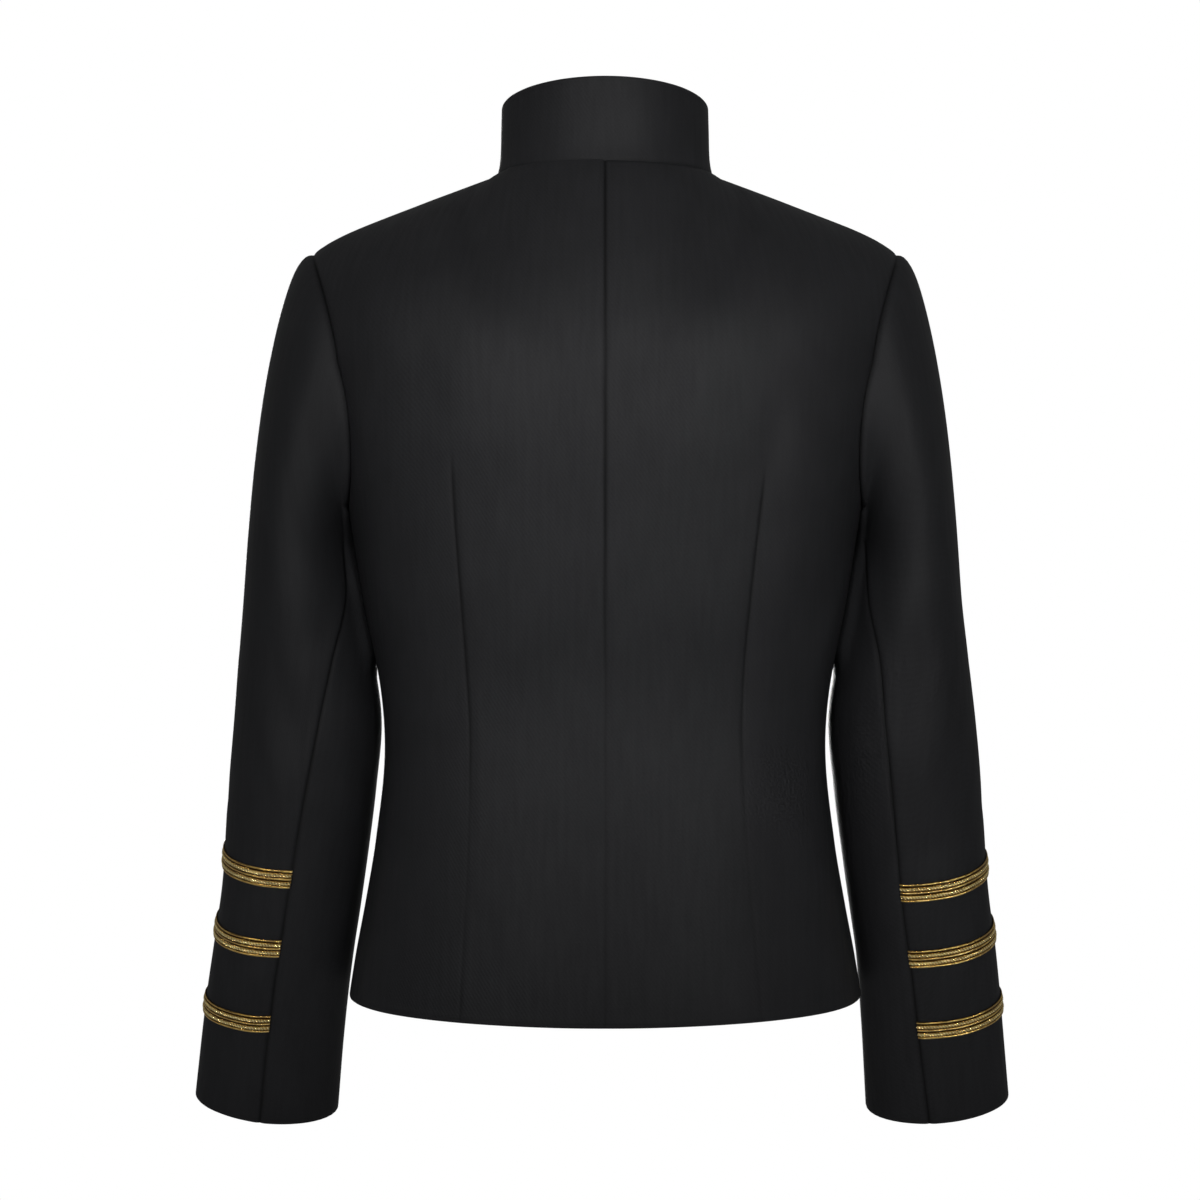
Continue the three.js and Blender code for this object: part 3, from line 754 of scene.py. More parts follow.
@dataclass(frozen=True)
class Twill:
    """The black twill suiting: fine diagonal ribs in a matt cloth with a faint, streaky sheen that is partly
    painted into its colour, and painted shade along its seams and darts.
    """

    dark: tuple[float, float, float] = (0.0064, 0.0065, 0.0071)
    light: tuple[float, float, float] = (0.0158, 0.016, 0.0174)
    # Painted shade: the near-black colour that the cloth darkens to along its seams and darts.
    seam: tuple[float, float, float] = (0.0012, 0.0012, 0.0014)
    pitch: float = 2.2 * MM
    slope: float = -33
    wobble_scale: float = 160
    fuzz_scale: float = 620
    streak_scale: float = 280
    streak_stretch: float = 0.09
    cloud_scale: float = 26
    rib_tone: float = 0.12
    fuzz_tone: float = 0.6
    streak_tone: float = 0.2
    cloud_tone: float = 0.2
    tone_levels: tuple[float, float] = (0.3, 0.7)
    rib_height: float = 0.4
    bump: float = 0.45
    bump_height: float = 0.12 * MM
    roughness: float = 0.66
    streak_gloss: float = 0.14
    specular: float = 0.13

    def make(self) -> bpy.types.Material:
        """The cloth's material, whose ribs follow the piece's own UV map in metres, and whose colour darkens
        towards the seam colour by the painted seam shade in the piece's relief attribute.

        Returns:
            The material.
        """
        sheet = NodeSheet("twill")
        place = sheet.add("UVMap", uv_map="UVMap").outputs["UV"]
        turned = sheet.add("Mapping", {"Vector": place, "Rotation": (0, 0, math.radians(self.slope))})
        axes = sheet.add("SeparateXYZ", {"Vector": turned.outputs["Vector"]})
        wobble = sheet.grain(place, self.wobble_scale, 2)
        phase = sheet.maths("MULTIPLY_ADD", axes.outputs["X"], 2 * math.pi / self.pitch, wobble)
        rib = sheet.maths("MULTIPLY_ADD", sheet.maths("SINE", phase), 0.5, 0.5)
        fuzz = sheet.grain(place, self.fuzz_scale, 3)
        stretch = (1.0, self.streak_stretch, 1.0)
        stretched = sheet.add("Mapping", {"Vector": place, "Scale": stretch}).outputs["Vector"]
        streak = sheet.grain(stretched, self.streak_scale, 3)
        cloud = sheet.grain(place, self.cloud_scale, 3)
        tone = sheet.maths("MULTIPLY", fuzz, self.fuzz_tone)
        tone = sheet.maths("MULTIPLY_ADD", rib, self.rib_tone, tone)
        # The streaks lighten the colour: partly the cloth's own tone, partly painted sheen.
        tone = sheet.maths("MULTIPLY_ADD", sheet.ramp(streak, *self.tone_levels), self.streak_tone, tone)
        tone = sheet.maths("MULTIPLY_ADD", sheet.ramp(cloud, *self.tone_levels), self.cloud_tone, tone)
        height = sheet.maths("MULTIPLY_ADD", rib, self.rib_height, fuzz)
        bump = sheet.add("Bump", {"Strength": self.bump, "Distance": self.bump_height, "Height": height})
        rough = sheet.maths("MULTIPLY_ADD", streak, -self.streak_gloss, self.roughness)
        # The relief attribute carries the painted seam and dart shade, which mixes the colour towards the
        # seam colour.
        sewn = sheet.add("Attribute", attribute_name="relief", attribute_type="GEOMETRY").outputs["Fac"]
        cloth = sheet.blend(tone, self.dark, self.light)
        colour = sheet.add("Mix", {"Factor": sewn, "A": cloth}, data_type="RGBA")
        colour.inputs["B"].default_value = (*self.seam, 1)
        return sheet.dress(
            Base_Color=colour.outputs["Result"],
            Roughness=rough,
            Normal=bump.outputs["Normal"],
            Specular_IOR_Level=self.specular,
        )


@dataclass(frozen=True)
class GoldThread:
    """The braids' metallic thread: bright on the cords with painted highlights, dark brown in the grooves
    between them with painted shade.
    """

    # Painted shade: the dark brown that the grooves between the cords take.
    groove: tuple[float, float, float] = (0.032, 0.011, 0.001)
    middle: tuple[float, float, float] = (0.78, 0.47, 0.075)
    # Painted highlight: the pale colour on the tops of the cords and their specks and patches.
    crest: tuple[float, float, float] = (1.0, 0.87, 0.45)
    worn: tuple[float, float, float] = (0.5, 0.33, 0.12)
    ply_pitch: float = 0.8 * MM
    ply_slant: float = 0.8
    ply_height: float = 0.1 * MM
    speck_scale: float = 900
    patch_scale: float = 75
    patch_stretch: float = 6
    wear_levels: tuple[float, float] = (0.35, 0.65)
    groove_heights: tuple[float, float] = (0.12, 0.6)
    speck_shine: float = 0.3
    patch_shine: float = 0.5
    crest_shine: tuple[float, float] = (0.95, 1.28)
    metal: float = 0.9
    roughness: float = 0.12
    patch_roughness: float = 0.3

    def make(self) -> bpy.types.Material:
        """The braids' material, by the height of the relief that each point carries, with painted shade in
        the low grooves and painted highlights on the high crests, and by the UV map.

        Returns:
            The material.
        """
        sheet = NodeSheet("gold_thread")
        height = sheet.add("Attribute", attribute_name="relief", attribute_type="GEOMETRY").outputs["Fac"]
        place = sheet.add("UVMap", uv_map="UVMap").outputs["UV"]
        axes = sheet.add("SeparateXYZ", {"Vector": place})
        across = sheet.maths("MULTIPLY", axes.outputs["Y"], self.ply_slant)
        slanted = sheet.maths("ADD", axes.outputs["X"], across)
        ply = sheet.maths("SINE", sheet.maths("MULTIPLY", slanted, 2 * math.pi / self.ply_pitch))
        speck = sheet.grain(place, self.speck_scale, 2)
        stretch = (1.0, self.patch_stretch, 1.0)
        stretched = sheet.add("Mapping", {"Vector": place, "Scale": stretch}).outputs["Vector"]
        patch = sheet.grain(stretched, self.patch_scale, 3)
        # Painted shade where the cords are low, and painted highlights where their height, specks and
        # patches run high.
        low = sheet.ramp(height, *self.groove_heights)
        shine = sheet.maths("MULTIPLY_ADD", speck, self.speck_shine, height)
        shine = sheet.maths("MULTIPLY_ADD", patch, self.patch_shine, shine)
        high = sheet.ramp(shine, *self.crest_shine)
        thread = sheet.blend(sheet.ramp(patch, *self.wear_levels), self.worn, self.middle)
        body = sheet.add("Mix", {"Factor": low, "B": thread}, data_type="RGBA")
        body.inputs["A"].default_value = (*self.groove, 1)
        colour = sheet.add("Mix", {"Factor": high, "A": body.outputs["Result"]}, data_type="RGBA")
        colour.inputs["B"].default_value = (*self.crest, 1)
        bump = sheet.add("Bump", {"Strength": 0.5, "Distance": self.ply_height, "Height": ply})
        return sheet.dress(
            Base_Color=colour.outputs["Result"],
            Metallic=self.metal,
            Roughness=sheet.maths("MULTIPLY_ADD", patch, self.patch_roughness, self.roughness),
            Normal=bump.outputs["Normal"],
        )


@dataclass(frozen=True)
class GiltMetal:
    """The buttons' gold-coloured metal, softly polished and a little worn."""

    colour: tuple[float, float, float] = (0.8, 0.56, 0.2)
    worn: tuple[float, float, float] = (0.52, 0.34, 0.11)
    wear_scale: float = 380
    wear_detail: int = 4
    wear_levels: tuple[float, float] = (0.45, 0.7)
    wear_roughness: float = 0.22
    roughness: float = 0.18
    fine_scale: float = 2600
    fine_height: float = 0.05 * MM
    bump: float = 0.12

    def make(self) -> bpy.types.Material:
        """The buttons' material, which wears by place.

        Returns:
            The material.
        """
        sheet = NodeSheet("gilt_metal")
        place = sheet.add("TexCoord").outputs["Object"]
        wear = sheet.grain(place, self.wear_scale, self.wear_detail)
        fine = sheet.grain(place, self.fine_scale, 2)
        bump = sheet.add("Bump", {"Strength": self.bump, "Distance": self.fine_height, "Height": fine})
        return sheet.dress(
            Base_Color=sheet.blend(sheet.ramp(wear, *self.wear_levels), self.colour, self.worn),
            Metallic=1.0,
            Roughness=sheet.maths("MULTIPLY_ADD", wear, self.wear_roughness, self.roughness),
            Normal=bump.outputs["Normal"],
        )


@dataclass(frozen=True)
class BlackThread:
    """The silky black thread of the buttonholes."""

    dark: tuple[float, float, float] = (0.006, 0.006, 0.008)
    light: tuple[float, float, float] = (0.03, 0.03, 0.036)
    pitch: float = 0.6 * MM
    height: float = 0.15 * MM
    bump: float = 0.8
    roughness: float = 0.45

    def make(self) -> bpy.types.Material:
        """The thread's material, whose stitches lie across the ring's length.

        Returns:
            The material.
        """
        sheet = NodeSheet("black_thread")
        place = sheet.add("UVMap", uv_map="UVMap").outputs["UV"]
        axes = sheet.add("SeparateXYZ", {"Vector": place})
        wave = sheet.maths("SINE", sheet.maths("MULTIPLY", axes.outputs["X"], 2 * math.pi / self.pitch))
        bump = sheet.add("Bump", {"Strength": self.bump, "Distance": self.height, "Height": wave})
        return sheet.dress(
            Base_Color=sheet.blend(sheet.ramp(wave, -1, 1), self.dark, self.light),
            Roughness=self.roughness,
            Normal=bump.outputs["Normal"],
        )


@dataclass(frozen=True)
class FloorPaint:
    """The pale, plain floor.

    It shines faintly for rays from the camera alone, so that it looks about as white as its surroundings
    and doesn't light the jacket.
    """

    colour: tuple[float, float, float, float] = (0.93, 0.93, 0.93, 1)
    roughness: float = 0.9
    glow: float = 0.72

    def make(self) -> bpy.types.Material:
        """The floor's material.

        Returns:
            The material.
        """
        sheet = NodeSheet("floor_paint")
        seen = sheet.add("LightPath").outputs["Is Camera Ray"]
        glow = sheet.maths("MULTIPLY", seen, self.glow)
        return sheet.dress(
            Base_Color=self.colour,
            Roughness=self.roughness,
            Emission_Color=self.colour,
            Emission_Strength=glow,
        )


# --- Cloth ----------------------------------------------------------------------------------------


@dataclass(frozen=True)
class Crease:
    """A soft ridge, or a trough where its rise is below zero, along a path on the cloth, in millimetres.

    The path is given across and up: by X and Z on cloth that faces back or forwards, by Y and Z outside.
    """

    facing: Facing
    path: tuple[tuple[float, float], ...]
    width: float
    rise: float
    steps: ClassVar[int] = 12
    end_power: ClassVar[float] = 0.8
    turn: ClassVar[tuple[float, float]] = (0.05, 0.5)

    def relief(self, points: np.ndarray, normals: np.ndarray, side: Side) -> np.ndarray:
        """How far the crease raises the cloth.

        Args:
            points: The cloth's points, in millimetres.
            normals: Its normals there.
            side: The wearer's side that the cloth is on.

        Returns:
            The rise at each point, in millimetres.
        """
        axis, across, sign = self.facing.value
        path = np.array(self.path, dtype=float)
        line = smooth_curve(path, np.linspace(0, len(path) - 1, self.steps * (len(path) - 1) + 1))
        shares = np.linspace(0, 1, len(line))
        flat = points[..., (across, 2)].reshape(-1, 2)
        starts, steps = line[:-1], np.diff(line, axis=0)
        best = np.full(len(flat), np.inf)
        share = np.zeros(len(flat))
        for index, (start, step) in enumerate(zip(starts, steps)):
            part = np.clip(((flat - start) @ step) / (step @ step), 0, 1)
            distance = np.linalg.norm(flat - start - part[:, None] * step, axis=1)
            is_nearer = distance < best
            best = np.where(is_nearer, distance, best)
            share = np.where(is_nearer, mix(shares[index], shares[index + 1], part), share)
        fade = np.sin(math.pi * np.clip(share, 0, 1)) ** self.end_power
        faces = normals[..., axis] * (sign if sign else side.value)
        weight = smooth(faces, *self.turn).reshape(-1)
        rise = self.rise * fade * weight * np.exp(-((best / self.width) ** 2))
        return rise.reshape(points.shape[:-1])


@dataclass
class ClothSheet:
    """One piece of cloth: a grid of points in millimetres, finished into a thin shell.

    The cloth puffs up between its seams and sinks into them, and shade is painted into its colour along
    them.
    Each function in extra gives a rise from the points and their distance from the sewn edges, the function
    for painted line shade gives the shade painted along a dart's line, and firmness gives how sharply the
    seams show, in both their sink and their painted shade.
    """

    name: str
    points: np.ndarray
    sewn: list[np.ndarray]
    flat: tuple[float, float]
    area: float
    rests_on: tuple[str, ...]
    edges: tuple[Edge, Edge, Edge, Edge]
    creases: tuple[Crease, ...] = ()
    side: Side = Side.LEFT
    puff: float = 0.8
    puff_width: float = 1.7
    puff_power: float = 1.4
    wall: float = 1.0
    fold_radius: float = 1.15
    fold_depth: float = 34
    fold_turns: tuple[float, ...] = (25, 50, 75, 105, 130, 155, 180)
    fold_spacing: float = 6
    corner_size: float = 0.15
    unevenness: float = 0.35
    wave_spans: tuple[float, float, float] = (34, 34, 150)
    ripple_spans: tuple[float, float, float] = (15, 15, 60)
    ripple_start: float = 7
    ripple_share: float = 0.5
    free_width: float = 14
    sharp_angle: float = 55
    seam_depth: float = 1.0
    seam_width: float = 1.15
    seam_shade: float = 1.0
    seam_sampling: float = 0.3
    patch_spans: tuple[float, float, float] = (30, 30, 55)
    patch_start: float = 3
    shade_mean: float = 0.9
    shade_swing: float = 0.4
    grain: float = 0.5
    extra: list[Callable[[np.ndarray, np.ndarray], np.ndarray]] = field(default_factory=list)
    stitched: Callable[[np.ndarray], np.ndarray] | None = None
    firmness: Callable[[np.ndarray], np.ndarray] | None = None
    normals: np.ndarray = field(init=False)
    form_normals: np.ndarray = field(init=False)
    shade: np.ndarray = field(init=False)

    def seam_distance(self) -> np.ndarray:
        """How far each point lies from the nearest sewn edge.

        Returns:
            The distances, in millimetres.
        """
        lines = []
        for line in self.sewn:
            walk = lengths_along(line, 0)
            places = np.linspace(0, walk[-1], int(walk[-1] / self.seam_sampling) + 2)
            lines.append(np.stack([np.interp(places, walk, line[:, axis]) for axis in range(3)], -1))
        edge = np.concatenate(lines)
        tree = KDTree(len(edge))
        for index, point in enumerate(edge):
            tree.insert(point, index)
        tree.balance()
        flat = self.points.reshape(-1, 3)
        return np.array([tree.find(point)[2] for point in flat]).reshape(self.points.shape[:-1])

    def raise_cloth(self) -> None:
        """Raises the cloth between its seams, paints shade along them, lays in its creases, and makes it a
        little uneven.
        """
        normals = grid_normals(self.points)
        distance = self.seam_distance()
        firm = self.firmness(self.points) if self.firmness else np.ones_like(distance)
        groove = np.exp(-((distance / self.puff_width) ** self.puff_power))
        rise = self.puff * (1 - self.seam_depth * firm * groove)
        # Painted seam shade: how far the colour darkens towards the seam colour near the sewn edges, in soft
        # patches.
        patches = cloth_noise(self.points, self.patch_spans, self.patch_start)
        strength = firm * self.seam_shade * (self.shade_mean + self.shade_swing * patches)
        self.shade = np.clip(strength, 0, 1) * np.exp(-((distance / self.seam_width) ** 2))
        # Darts add the shade painted along their lines and beside their folds.
        if self.stitched:
            self.shade = np.maximum(self.shade, self.stitched(self.points))
        free = smooth(distance, 0, self.free_width)
        for crease in self.creases:
            rise = rise + free * crease.relief(self.points, normals, self.side)
        for relief in self.extra:
            rise = rise + relief(self.points, distance)
        waves = cloth_noise(self.points, self.wave_spans, 0)
        ripples = cloth_noise(self.points, self.ripple_spans, self.ripple_start)
        rise = rise + free * self.unevenness * (waves + self.ripple_share * ripples)
        self.points = self.points + normals * rise[..., None]
        self.normals = grid_normals(self.points)
        self.form_normals = normals

    def edge_lines(
        self, points: np.ndarray, normals: np.ndarray, edge: Edge, size: np.ndarray
    ) -> np.ndarray:
        """The lines of points that finish one edge.

        Args:
            points: The grid, turned so that the edge is its first row.
            normals: The form's normals there.
            edge: How the edge is finished.
            size: How large the finish is at each point of the edge, as a share of its usual size.

        Returns:
            The lines, from the edge outwards.
        """
        start, normal = points[0], normals[0]
        if edge is Edge.SEWN:
            return (start - normal * self.wall * size[:, None])[None]
        out = unit(start - points[2])
        turns = np.radians(self.fold_turns)[:, None, None]
        radius = self.fold_radius * size[:, None]
        lines = start + radius * (out * np.sin(turns) - normal * (1 - np.cos(turns)))
        if edge is Edge.ROUNDED:
            return lines
        walk = lengths_along(points, 0)
        rows = np.arange(len(points))
        columns = np.arange(len(start))
        inside = []
        for depth in np.linspace(0, self.fold_depth, int(self.fold_depth / self.fold_spacing) + 1)[1:]:
            at = np.array([np.interp(depth, walk[:, column], rows) for column in columns])
            low = np.clip(np.floor(at).astype(int), 0, len(points) - 2)
            share = (at - low)[:, None]
            place = mix(points[low, columns], points[low + 1, columns], share)
            inside.append(place - mix(normals[low, columns], normals[low + 1, columns], share) * 2 * radius)
        return np.concatenate([lines, np.array(inside)])

    def finished_grid(self) -> tuple[np.ndarray, np.ndarray]:
        """The grid with all four of its edges finished.

        Returns:
            The grid, and the shade painted along its seams at each point.
        """
        points, normals = self.points, self.form_normals
        first, last, left, right = self.edges
        whole = np.ones(points.shape[1])
        low = self.edge_lines(points, normals, first, whole)
        high = self.edge_lines(points[::-1], normals[::-1], last, whole)
        small = [np.full(len(lines), self.corner_size) for lines in (low, high)]
        sizes = np.concatenate([small[0], np.ones(len(points)), small[1]])
        points = np.concatenate([low[::-1], points, high])
        normals = grid_normals(points)
        turned, facing = np.swapaxes(points, 0, 1), np.swapaxes(normals, 0, 1)
        before = self.edge_lines(turned, facing, left, sizes)
        after = self.edge_lines(turned[::-1], facing[::-1], right, sizes)
        margins = ((len(low), len(high)), (len(before), len(after)))
        grid = np.swapaxes(np.concatenate([before[::-1], turned, after]), 0, 1)
        return grid, np.pad(self.shade, margins, mode="edge")

    def build(self, material: bpy.types.Material) -> bpy.types.Object:
        """The finished piece, which stands for its solid.

        Args:
            material: The cloth's material.

        Returns:
            The piece.
        """
        piece = sheet_mesh(f"{self.name}_cloth", *self.finished_grid(), self.grain)
        finish_modifier("SOLIDIFY", thickness=self.wall * MM, offset=-1, use_even_offset=False)
        bpy.ops.object.shade_smooth_by_angle(angle=math.radians(self.sharp_angle))
        piece.data.materials.append(material)
        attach(piece, "root")
        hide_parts(self.name)
        list(self.rests_on)
        report(piece)
        return piece


def cloth_noise(points: np.ndarray, spans: tuple[float, float, float], start: float) -> np.ndarray:
    """Soft noise over points, between about -1 and 1.

    Args:
        points: The points, in millimetres.
        spans: How far the noise reaches along each axis before it changes, in millimetres.
        start: Where along Z the noise starts, in spans, so that two noises differ.

    Returns:
        The noise at each point.
    """
    across, deep, up = spans
    values = [noise.noise((x / across, y / deep, z / up + start)) for x, y, z in points.reshape(-1, 3)]
    return np.array(values).reshape(points.shape[:-1])


def report(piece: bpy.types.Object) -> None:
    """Logs a finished piece's name and how many faces it has."""
    LOG.info("%s: %d faces", piece.name, len(piece.data.polygons))


def sheet_mesh(
    name: str, points: np.ndarray, relief: np.ndarray | None = None, grain: float = 0.5
) -> bpy.types.Object:
    """A sheet through a grid of points, with a UV map in metres along its rows and columns.

    Args:
        name: The new object's name.
        points: The grid, in millimetres; its columns crossed with its rows point outwards.
        relief: A number for each point that the material reads, if any: for cloth, its painted seam shade;
            for a braid, its ribs' height.
        grain: Where the line that the UV map runs straight along lies, as a share of the columns.

    Returns:
        The object, active and selected alone.
    """
    rows, columns = points.shape[:2]
    bpy.ops.object.select_all(action="DESELECT")
    bpy.ops.mesh.primitive_grid_add(x_subdivisions=columns - 1, y_subdivisions=rows - 1, size=1)
    piece = bpy.context.object
    piece.name = name
    mesh = piece.data
    mesh.name = name
    mesh.vertices.foreach_set("co", (points * MM).astype(np.float32).ravel())
    walk = lengths_along(points, 1)
    across = walk - walk[:, [round(grain * (columns - 1))]]
    up = lengths_along(points, 0)
    places = np.stack([across, up], -1).reshape(-1, 2) * MM
    corners = np.zeros(len(mesh.loops), dtype=np.int32)
    mesh.loops.foreach_get("vertex_index", corners)
    mesh.uv_layers[0].data.foreach_set("uv", places[corners].astype(np.float32).ravel())
    if relief is not None:
        layer = mesh.attributes.new("relief", "FLOAT", "POINT")
        layer.data.foreach_set("value", relief.astype(np.float32).ravel())
    mesh.update()
    return piece


def finish_modifier(kind: str, **settings: object) -> None:
    """Adds a modifier to the active object, sets it and applies it.

    Args:
        kind: The modifier's type.
        settings: Its settings.
    """
    bpy.ops.object.modifier_add(type=kind)
    modifier = bpy.context.object.modifiers[-1]
    for name, value in settings.items():
        setattr(modifier, name, value)
    bpy.ops.object.modifier_apply(modifier=modifier.name)


# --- Sub-assemblies -------------------------------------------------------------------------------


@dataclass(frozen=True)
class Dart:
    """A sewn waist dart: its distance from the centre at each level, how its fold lies, and the shade
    painted along it.
    """

    path: Table
    tip: float
    width: float = 1.0
    depth: float = 0.5
    shade: float = 0.85
    fold_rise: float = 0.3
    fold_width: float = 8
    fold_shade: float = 0.22
    tip_fade: tuple[float, float] = (-25, 2)
    dimple_depth: float = 0.5
    dimple_width: float = 9
    dimple_height: float = 22
    faint: float = 0.25
    faint_levels: tuple[float, float] = (-450, -320)

    def reach(self, z: np.ndarray) -> np.ndarray:
        """How far the dart lies from the centre at a level."""
        return self.path.read("x", z)

    def sewn(self, points: np.ndarray) -> tuple[np.ndarray, np.ndarray]:
        """Where points lie beside the dart's line.

        Args:
            points: The points.

        Returns:
            How far they lie from the line, across it, and how firmly it is sewn at their level.
        """
        z = points[..., 2]
        away = np.abs(points[..., 0]) - self.reach(z)
        firm = 1 - smooth(z, *[self.tip + fade for fade in self.tip_fade])
        return away, firm * mix(self.faint, 1, smooth(z, *self.faint_levels))

    def relief(self, points: np.ndarray, _: np.ndarray) -> np.ndarray:
        """How far the dart sinks its own line and raises the fold beside it.

        Args:
            points: The points.
            _: Their distance from the sewn edges, which changes nothing here.

        Returns:
            The rise at each point.
        """
        away, firm = self.sewn(points)
        line = -self.depth * np.exp(-((away / self.width) ** 2))
        half = self.fold_width / 2
        fold = self.fold_rise * np.exp(-(((away + half) / half) ** 4))
        above = (points[..., 2] - self.tip) / self.dimple_height
        dimple = -self.dimple_depth * np.exp(-((away / self.dimple_width) ** 2) - above**2)
        return firm * (line + fold) + dimple

    def stitched(self, points: np.ndarray) -> np.ndarray:
        """The shade painted along the dart's line, and beside it on the fold's side.

        Args:
            points: The points.

        Returns:
            The painted shade at each, from 0 to 1.
        """
        away, firm = self.sewn(points)
        line = self.shade * np.exp(-((away / self.width) ** 2))
        beside = self.fold_shade * np.exp(-((away / self.fold_width) ** 2)) * (1 - smooth(away, -1, 1))
        return firm * np.maximum(line, beside)


@dataclass
class Body:
    """The jacket's body: two halves of the back, and two fronts that lap."""

    form: BodyForm
    material: bpy.types.Material
    row_spacing: float = 4.2
    back_counts: tuple[int, int] = (18, 16)
    front_counts: tuple[int, int, int] = (14, 18, 16)
    close: tuple[float, ...] = (1, 2.2, 3.8, 6, 9)
    close_step: float = 0.75
    underarm_rows: tuple[float, ...] = (0.4, 1, 2, 3.4, 5.4, 8, 11)
    armhole_length: float = 89
    crown_length: float = 130
    crown_end: float = 0.9
    top_rows: tuple[float, ...] = (0.93, 0.955, 0.972, 0.984, 0.992, 1)
    sampling: int = 120
    neck_part: float = 0.9
    fade: float = 0.65
    fade_width: float = 20
    fade_levels: tuple[float, float] = (-400, -270)
    back_flat: tuple[float, float] = (0.233, 0.652)
    back_area: float = 0.127
    front_flat: tuple[float, float] = (0.312, 0.552)
    front_area: float = 0.137
    sheets: dict[str, ClothSheet] = field(default_factory=dict)
    back_darts: dict[Side, Dart] = field(
        default_factory=lambda: {
            Side.LEFT: Dart(
                Table(
                    ("z", "x"),
                    (
                        *((-600, 97), (-548, 95), (-476, 91.5), (-383, 90.5)),
                        *((-335, 93), (-243, 99.5), (-190, 102), (-100, 106)),
                    ),
                ),
                tip=-196,
            ),
            Side.RIGHT: Dart(
                Table(
                    ("z", "x"),
                    (
                        *((-600, 104), (-548, 101.5), (-476, 95), (-383, 91.5)),
                        *((-335, 93), (-243, 102), (-190, 108), (-100, 113)),
                    ),
                ),
                tip=-204,
            ),
        }
    )
    front_dart: Dart = Dart(
        Table(("z", "x"), ((-600, 110), (-476, 105), (-383, 102), (-300, 106), (-225, 112), (-100, 116))),
        tip=-226,
    )
    back_creases: tuple[Crease, ...] = (
        Crease(Facing.BACK, ((-172, -205), (-158, -262), (-136, -330), (-128, -392)), 15, -2.6),
        Crease(Facing.BACK, ((-150, -150), (-138, -196), (-130, -250), (-126, -300)), 20, 2.0),
        Crease(Facing.BACK, ((-112, -150), (-114, -180), (-106, -216)), 9, -0.8),
        Crease(Facing.BACK, ((-168, -262), (-150, -322), (-143, -385)), 11, 1.4),
        Crease(Facing.BACK, ((174, -236), (162, -288), (143, -350), (134, -404)), 15, -1.2),
        Crease(Facing.BACK, ((160, -150), (142, -205), (133, -270)), 20, 0.9),
        Crease(Facing.BACK, ((128, -90), (121, -160), (126, -235)), 13, -0.9),
        Crease(Facing.BACK, ((-60, -120), (-66, -210), (-60, -330), (-50, -420)), 17, 1.1),
        Crease(Facing.BACK, ((-30, -150), (-36, -260), (-30, -400)), 12, -0.7),
        Crease(Facing.BACK, ((48, -130), (58, -230), (52, -360)), 18, 1.0),
        Crease(Facing.BACK, ((24, -90), (30, -210), (24, -330)), 11, -0.6),
        Crease(Facing.BACK, ((-96, -60), (-88, -110), (-100, -180)), 16, 0.9),
        Crease(Facing.BACK, ((96, -62), (86, -118), (94, -172)), 16, 0.7),
        Crease(Facing.BACK, ((146, -402), (120, -392), (84, -398)), 12, -0.8),
        Crease(Facing.BACK, ((-146, -384), (-118, -394), (-70, -388)), 13, -0.9),
        Crease(Facing.BACK, ((-128, -430), (-140, -490), (-146, -556)), 14, 1.2),
        Crease(Facing.BACK, ((130, -440), (138, -500), (142, -566)), 16, 1.0),
        Crease(Facing.BACK, ((-56, -450), (-64, -510), (-60, -572)), 18, 0.9),
        Crease(Facing.BACK, ((50, -440), (54, -500), (62, -572)), 18, 0.8),
    )
    front_creases: tuple[Crease, ...] = (
        Crease(Facing.FRONT, ((158, -206), (146, -262), (128, -330), (122, -380)), 15, -2.2),
        Crease(Facing.FRONT, ((-160, -198), (-150, -258), (-134, -318), (-124, -388)), 16, -2.5),
        Crease(Facing.FRONT, ((150, -150), (128, -206), (118, -262)), 18, 1.7),
        Crease(Facing.FRONT, ((-154, -158), (-130, -212), (-122, -268)), 18, 1.6),
        Crease(Facing.FRONT, ((62, -330), (66, -380), (58, -430)), 13, -1.0),
        Crease(Facing.FRONT, ((-58, -320), (-68, -376), (-62, -440)), 14, -1.1),
        Crease(Facing.FRONT, ((134, -398), (104, -390), (66, -396)), 12, -1.0),
        Crease(Facing.FRONT, ((-136, -392), (-108, -398), (-60, -390)), 12, -0.9),
        Crease(Facing.FRONT, ((-16, -390), (6, -396), (34, -388)), 10, -0.8),
        Crease(Facing.FRONT, ((-20, -150), (-26, -230), (-16, -300)), 15, 0.9),
        Crease(Facing.FRONT, ((100, -450), (112, -506), (118, -566)), 17, 1.2),
        Crease(Facing.FRONT, ((-104, -444), (-110, -500), (-124, -562)), 16, 1.1),
    )

    def heights(self) -> np.ndarray:
        """The rows' heights, close together at the underarm and below the top.

        Returns:
            The heights, as BodyForm.row takes them.
        """
        low = np.linspace(0, 1, int((self.form.underarm - self.form.hem) / self.row_spacing))
        near = np.array(self.underarm_rows) / (self.form.blade - self.form.underarm)
        middle = np.linspace(near[-1], 1, int(self.armhole_length / self.row_spacing) + 1)[1:]
        crown = np.linspace(0, self.crown_end, int(self.crown_length / self.row_spacing))[1:]
        top = np.array(self.top_rows)
        return np.concatenate([low, 1 + near, 1 + middle, 2 + crown, 2 + top])

